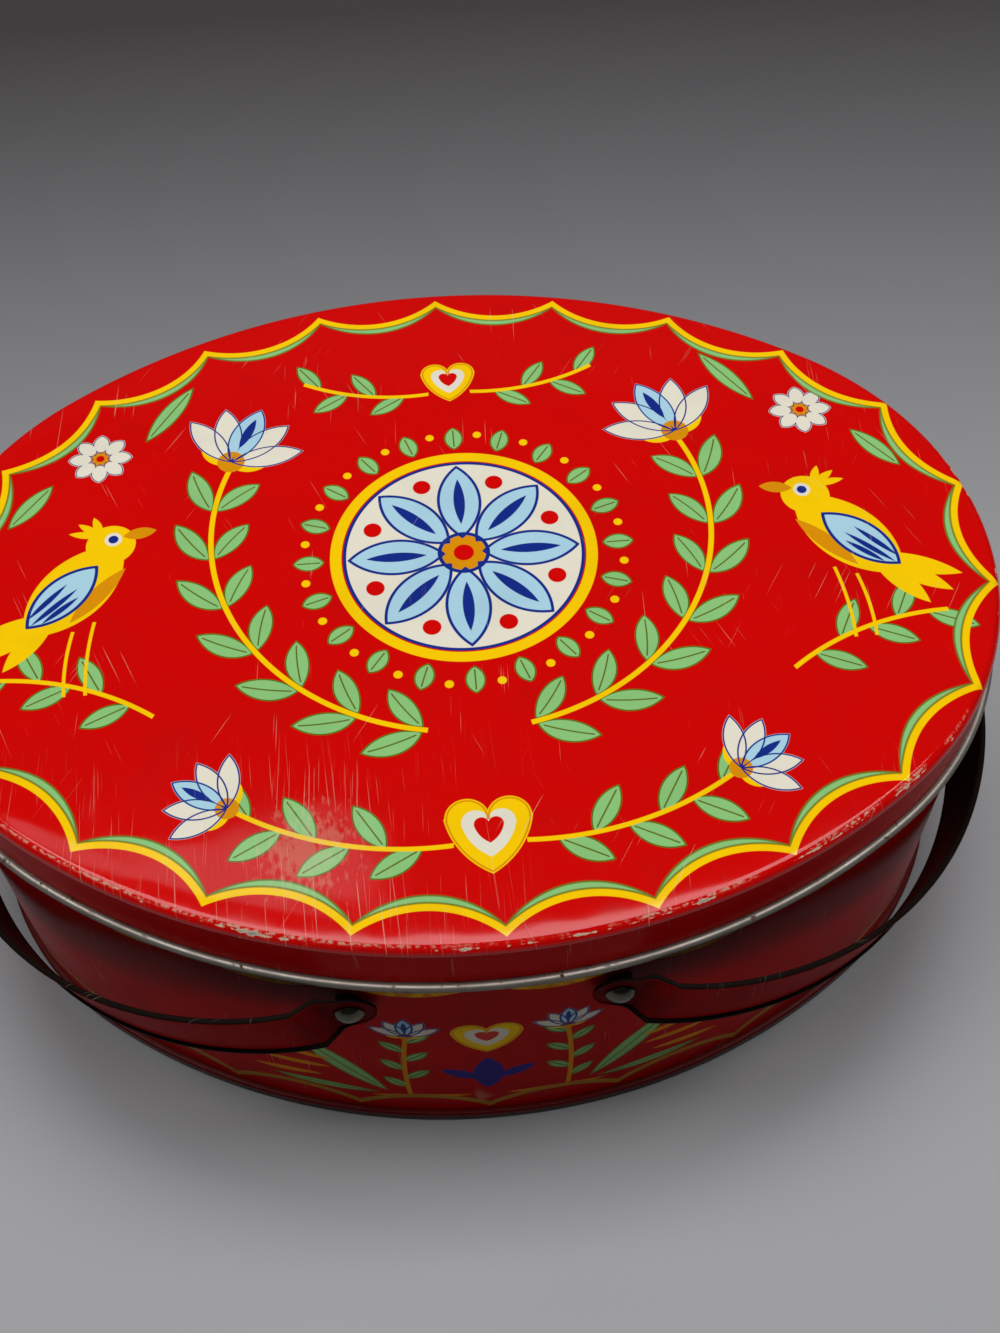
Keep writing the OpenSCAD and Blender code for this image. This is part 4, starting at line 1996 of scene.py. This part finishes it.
    def drilled(self, piece: bpy.types.Object) -> bpy.types.Object:
        """Cuts the rivet holes through both ears of a finished handle.

        Args:
            piece: The handle without holes.

        Returns:
            The same piece with its holes.
        """
        bm = bmesh.new()
        bmesh.ops.create_cone(
            bm, cap_ends=True, segments=self.hole_sides, radius1=self.hole_r, radius2=self.hole_r,
            depth=self.drill_span * self.ear_y,
        )
        level = Matrix.Rotation(math.pi / 2, 3, "X")
        bmesh.ops.rotate(bm, verts=bm.verts, cent=(0, 0, 0), matrix=level)
        bmesh.ops.translate(bm, vec=(self.pivot.x, 0, self.pivot.z), verts=bm.verts)
        drill = finished(bm, "rivet_drill", [])
        cut = piece.modifiers.new("rivet_holes", "BOOLEAN")
        cut.operation = "DIFFERENCE"
        cut.solver = "EXACT"
        cut.object = drill
        seen = piece.evaluated_get(bpy.context.evaluated_depsgraph_get())
        holed = bpy.data.meshes.new_from_object(seen)
        piece.modifiers.clear()
        piece.data = holed
        bpy.data.objects.remove(drill)
        return piece


@dataclass(frozen=True)
class Rivet:
    """Rivet with a domed head outside and a spread tail inside."""

    low: Vector
    high: Vector
    face: Face
    head_d: float = 8.4
    head_h: float = 2.4
    head_edge: float = 0.5
    head_break: float = 0.2
    dome_steps: int = 10
    shank_d: float = 4.0
    tail_d: float = 6.4
    tail_h: float = 1.6
    tail_round: float = 0.5
    tail_rim: float = 0.3
    tail_steps: int = 4
    dimple: float = 0.5
    dimple_share: float = 0.6
    facets: int = 40

    @property
    def length(self) -> float:
        """Length over the head and the tail."""
        return self.high.y - self.low.y

    def profile(self) -> list[Point]:
        """Runs from the middle of the tail to the top of the head.

        Returns:
            The profile as (radius, height).
        """
        dome = self.head_h - self.head_edge
        dome_r = (self.head_d**2 / 4 + dome**2) / (2 * dome)
        lean = math.degrees(math.asin(self.head_d / 2 / dome_r))
        under = self.length - self.head_h
        tail_r, shank_r, head_r = self.tail_d / 2, self.shank_d / 2, self.head_d / 2
        end, rim = self.tail_round, self.tail_rim
        return [
            (0.0, self.dimple),
            (self.tail_d / 5, self.dimple * self.dimple_share),
            *arc((tail_r - end, end), end, -90, 0, self.tail_steps),
            *arc((tail_r - rim, self.tail_h - rim), rim, 0, 90, self.tail_steps),
            (shank_r, self.tail_h),
            (shank_r, under),
            (head_r - self.head_break, under),
            (head_r, under + self.head_break),
            *arc((0, self.length - dome_r), dome_r, 90 - lean, 90, self.dome_steps),
        ]

    def build(self, name: str, finish: bpy.types.Material) -> bpy.types.Object:
        """Makes the rivet.

        Args:
            name: Name of the piece.
            finish: Its finish.

        Returns:
            The piece.
        """
        bm = bmesh.new()
        verts = [bm.verts.new((r, 0, h)) for r, h in self.profile()]
        edges = [bm.edges.new(pair) for pair in zip(verts, verts[1:])]
        bmesh.ops.spin(
            bm, geom=verts + edges, cent=(0, 0, 0), axis=(0, 0, 1), angle=2 * math.pi,
            steps=self.facets, use_merge=True,
        )
        bmesh.ops.remove_doubles(bm, verts=bm.verts, dist=FINE_MERGE)
        bmesh.ops.recalc_face_normals(bm, faces=bm.faces)
        middle = (self.low + self.high) / 2
        tail_y = self.low.y if self.face is Face.BACK else self.high.y
        turn = Matrix.Rotation(-self.face.value * math.pi / 2, 3, "X")
        bmesh.ops.rotate(bm, verts=bm.verts, cent=(0, 0, 0), matrix=turn)
        bmesh.ops.translate(bm, vec=(middle.x, tail_y, middle.z), verts=bm.verts)
        return finished(bm, name, [finish])


@dataclass(frozen=True)
class Camera:
    """Camera at the photograph's angle. Lengths in millimetres, angles in degrees."""

    place: tuple[float, float, float] = (-3.6, -292.0, 487.44)
    yaw: float = 3.19
    pitch: float = 54.95
    roll: float = 1.28
    sensor: float = 36.0
    focal_px: float = 1593.8
    image_height: float = 1333.0
    clip_start: float = 10.0

    def build(self) -> bpy.types.Object:
        """Makes the scene's camera.

        Returns:
            The camera.
        """
        yaw, pitch, roll = (math.radians(a) for a in (self.yaw, self.pitch, self.roll))
        level = math.cos(pitch)
        ahead = Vector((math.sin(yaw) * level, math.cos(yaw) * level, -math.sin(pitch)))
        right = Vector((math.cos(yaw), -math.sin(yaw), 0))
        down = ahead.cross(right)
        across = right * math.cos(roll) + down * math.sin(roll)
        below = down * math.cos(roll) - right * math.sin(roll)
        data = bpy.data.cameras.new("photo_camera")
        data.sensor_width = self.sensor
        data.lens = self.focal_px * self.sensor / self.image_height
        data.clip_start = self.clip_start * MM
        camera = bpy.data.objects.new("photo_camera", data)
        turn = Matrix((across, -below, -ahead)).transposed().to_4x4()
        camera.matrix_world = Matrix.Translation(Vector(self.place) * MM) @ turn
        bpy.context.scene.collection.objects.link(camera)
        bpy.context.scene.camera = camera
        return camera


@dataclass(frozen=True)
class Lamp:
    """Soft rectangular lamp that points at the tin. Metres and watts."""

    name: str
    place: tuple[float, float, float]
    size: Point
    power: float
    aim: tuple[float, float, float] = (0, 0, 0.08)
    roll: float = 0.0

    def build(self) -> bpy.types.Object:
        """Makes the lamp.

        Returns:
            The lamp.
        """
        data = bpy.data.lights.new(self.name, "AREA")
        data.shape = "RECTANGLE"
        data.size, data.size_y = self.size
        data.energy = self.power
        lamp = bpy.data.objects.new(self.name, data)
        lamp.location = self.place
        facing = (Vector(self.aim) - Vector(self.place)).to_track_quat("-Z", "Y")
        lamp.rotation_euler = (facing @ Quaternion((0, 0, 1), math.radians(self.roll))).to_euler()
        bpy.context.scene.collection.objects.link(lamp)
        return lamp


@dataclass(frozen=True)
class Studio:
    """Pale floor that curves up behind the tin, soft lamps and a dim surrounding.

    Lengths are in metres, and those of the paper's tones and painted shade in millimetres.
    """

    half_width: float = 3.0
    front: float = -2.5
    bend_start: float = 0.30
    bend_r: float = 0.45
    bend_steps: int = 24
    back_height: float = 0.8
    surround: float = 0.04
    paper: Colour = linear(166, 167, 170)
    paper_tone: Colour = linear(161, 162, 165)
    tone_size: float = 180.0
    far_paper_shade: Colour = linear(54, 50, 52)
    far_shade_from: float = 225.0
    far_shade_soft: float = 430.0
    paper_rough: float = 0.8
    lamps: tuple[Lamp, ...] = (
        Lamp("key_lamp", place=(0.0, 0.09, 1.5), size=(1.7, 0.72), power=24.3),
        Lamp(
            "sheen_lamp", place=(-0.37, 0.64, 1.5), size=(0.52, 0.09), power=0.26,
            aim=(-0.05, -0.1, 0.12), roll=-18.0,
        ),
    )

    def floor_finish(self) -> bpy.types.Material:
        """Makes pale matt paper with painted shade that darkens it towards the back.

        Returns:
            The material.
        """
        g = Graph("floor_paper")
        place = g.place()
        colour = g.mix(g.noise(place.point, self.tone_size), self.paper, self.paper_tone)
        # Painted shade: the paper darkens towards the back.
        colour = g.mix(place.y.above(self.far_shade_from, self.far_shade_soft), colour, self.far_paper_shade)
        return g.finish({"Roughness": self.paper_rough}, {"Base Color": colour})

    def build(self) -> None:
        """Makes the floor, the lamps and the surrounding light."""
        bm = bmesh.new()
        bend = arc((self.bend_start, self.bend_r), self.bend_r, -90, 0, self.bend_steps)
        outline = [(self.front, 0.0), *bend, (self.bend_start + self.bend_r, self.back_height)]
        verts = [bm.verts.new((-self.half_width, y, z)) for y, z in outline]
        edges = [bm.edges.new(pair) for pair in zip(verts, verts[1:])]
        drawn = bmesh.ops.extrude_edge_only(bm, edges=edges)
        moved = [v for v in drawn["geom"] if isinstance(v, bmesh.types.BMVert)]
        bmesh.ops.translate(bm, vec=(2 * self.half_width, 0, 0), verts=moved)
        bmesh.ops.recalc_face_normals(bm, faces=bm.faces)
        bmesh.ops.scale(bm, vec=(1 / MM,) * 3, verts=bm.verts)
        finished(bm, "studio_floor", [self.floor_finish()])
        for lamp in self.lamps:
            lamp.build()
        world = bpy.data.worlds.new("studio_world")
        world.use_nodes = True
        background = world.node_tree.nodes["Background"]
        background.inputs["Color"].default_value = (self.surround,) * 3 + (1,)
        bpy.context.scene.world = world


class SewingTin:
    """The whole tin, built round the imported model."""

    def __init__(self, frame: dict) -> None:
        """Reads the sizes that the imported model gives.
        """
        self.frame = frame
        wall_low, wall_high = (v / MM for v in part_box("body_wall"))
        lid_low, lid_high = (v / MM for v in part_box("lid"))
        self.oval = Oval(wall_high.x - wall_low.x, wall_high.y - wall_low.y)
        self.wall = Wall(self.oval, wall_high.z, wall_low.z)
        self.lid = Lid(self.oval, lid_high.z, lid_low.z)
        self.bottom = Bottom(self.oval)
        self.tin = BareTin("bare_tin_finish", base_rough=0.4, metal=0.6).material()

    def ride(self, piece: bpy.types.Object, body: str, node: str) -> None:
        """Puts a piece on its body in place of its solid.

        Args:
            piece: The piece.
            body: Body that it moves with.
            node: Solid that it stands for.
        """
        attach(piece, body)
        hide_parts(node)
        log.info("%s: %d faces on %s", piece.name, len(piece.data.polygons), body)

    def build_shells(self) -> None:
        """Makes the lid, the wall and the bottom."""
        lid_print = LidPrint(self.oval, self.lid.top, self.lid.out).material()
        wall_print = WallPrint(self.oval, self.bottom.rim_h, self.lid.low).material()
        dark = RimLacquer(
            "bottom_finish", Ink.BLACK, Ink.RUST, chip_level=1.16, shade_share=0.3
        ).material()
        skirt = Lacquer(
            "lid_skirt_finish", Ink.RED, Ink.DEEP_RED, chip_level=1.15, shade_share=0.9, gloss=0.012
        ).material()
        bead = BeadTin(
            "lid_bead_finish", spots=0.62, base_rough=0.36, metal=0.8, shade_and_tarnish_from=self.lid.bead_shade_line
        ).material()
        self.ride(self.lid.build(lid_print, skirt, bead, self.tin), "lid", "lid")
        self.ride(self.wall.build(wall_print, self.tin), "tin", "body_wall")
        self.ride(self.bottom.build(dark, self.tin), "tin", "bottom_panel")

    def build_handles(self) -> None:
        """Makes the two handles."""
        pivots = {j["name"]: Vector(j["pos_m"]) / MM for j in self.frame["joints"] if "pos_m" in j}
        spot = pivots["right_handle_swing"]
        # The handles' reds are darker than the lid's, in part painted shade of the upright straps.
        red = EarLacquer(
            "handle_outer_finish", Ink.DEEP_RED, Ink.DARK_RED, chip_level=1.16, shade_share=0.65,
            gloss=0.004, pivot=(spot.x, spot.z),
        ).material()
        black = Lacquer(
            "handle_inner_finish", Ink.BLACK, Ink.RUST, chip_level=1.14, shade_share=0.06, gloss=0.008
        ).material()
        for side in Side:
            name = f"{side.name.lower()}_handle"
            handle = Handle(side, pivots[f"{name}_swing"], self.oval, self.lid.half_width)
            self.ride(handle.build(red, black), name, name)

    def build_pivots(self) -> None:
        """Makes the rivets and finishes the washers."""
        steel = BareTin(
            "rivet_finish", Ink.DARK_TIN, spots=0.6, base_rough=0.06, dull=Ink.BROWN_TIN
        ).material()
        for side in Side:
            for face in Face:
                spot = f"{side.name.lower()}_{face.name.lower()}"
                low, high = (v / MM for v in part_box(f"rivet_{spot}"))
                rivet = Rivet(low, high, face).build(f"rivet_dome_{spot}", steel)
                self.ride(rivet, "tin", f"rivet_{spot}")
                for washer in ("spacer", "backing"):
                    node = self.frame["nodes"][f"{washer}_{spot}"]
                    node.data.materials.clear()
                    node.data.materials.append(steel)
                    log.info("%s: CAD mesh in %s", node.name, steel.name)


def main() -> None:
    """Builds the tin and its studio."""
    logging.basicConfig(level=logging.INFO, format="%(message)s")
    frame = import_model()
    bpy.context.scene.view_settings.view_transform = "Standard"
    Camera().build()
    Studio().build()
    tin = SewingTin(frame)
    tin.build_shells()
    tin.build_handles()
    tin.build_pivots()


if __name__ == "__main__":
    main()
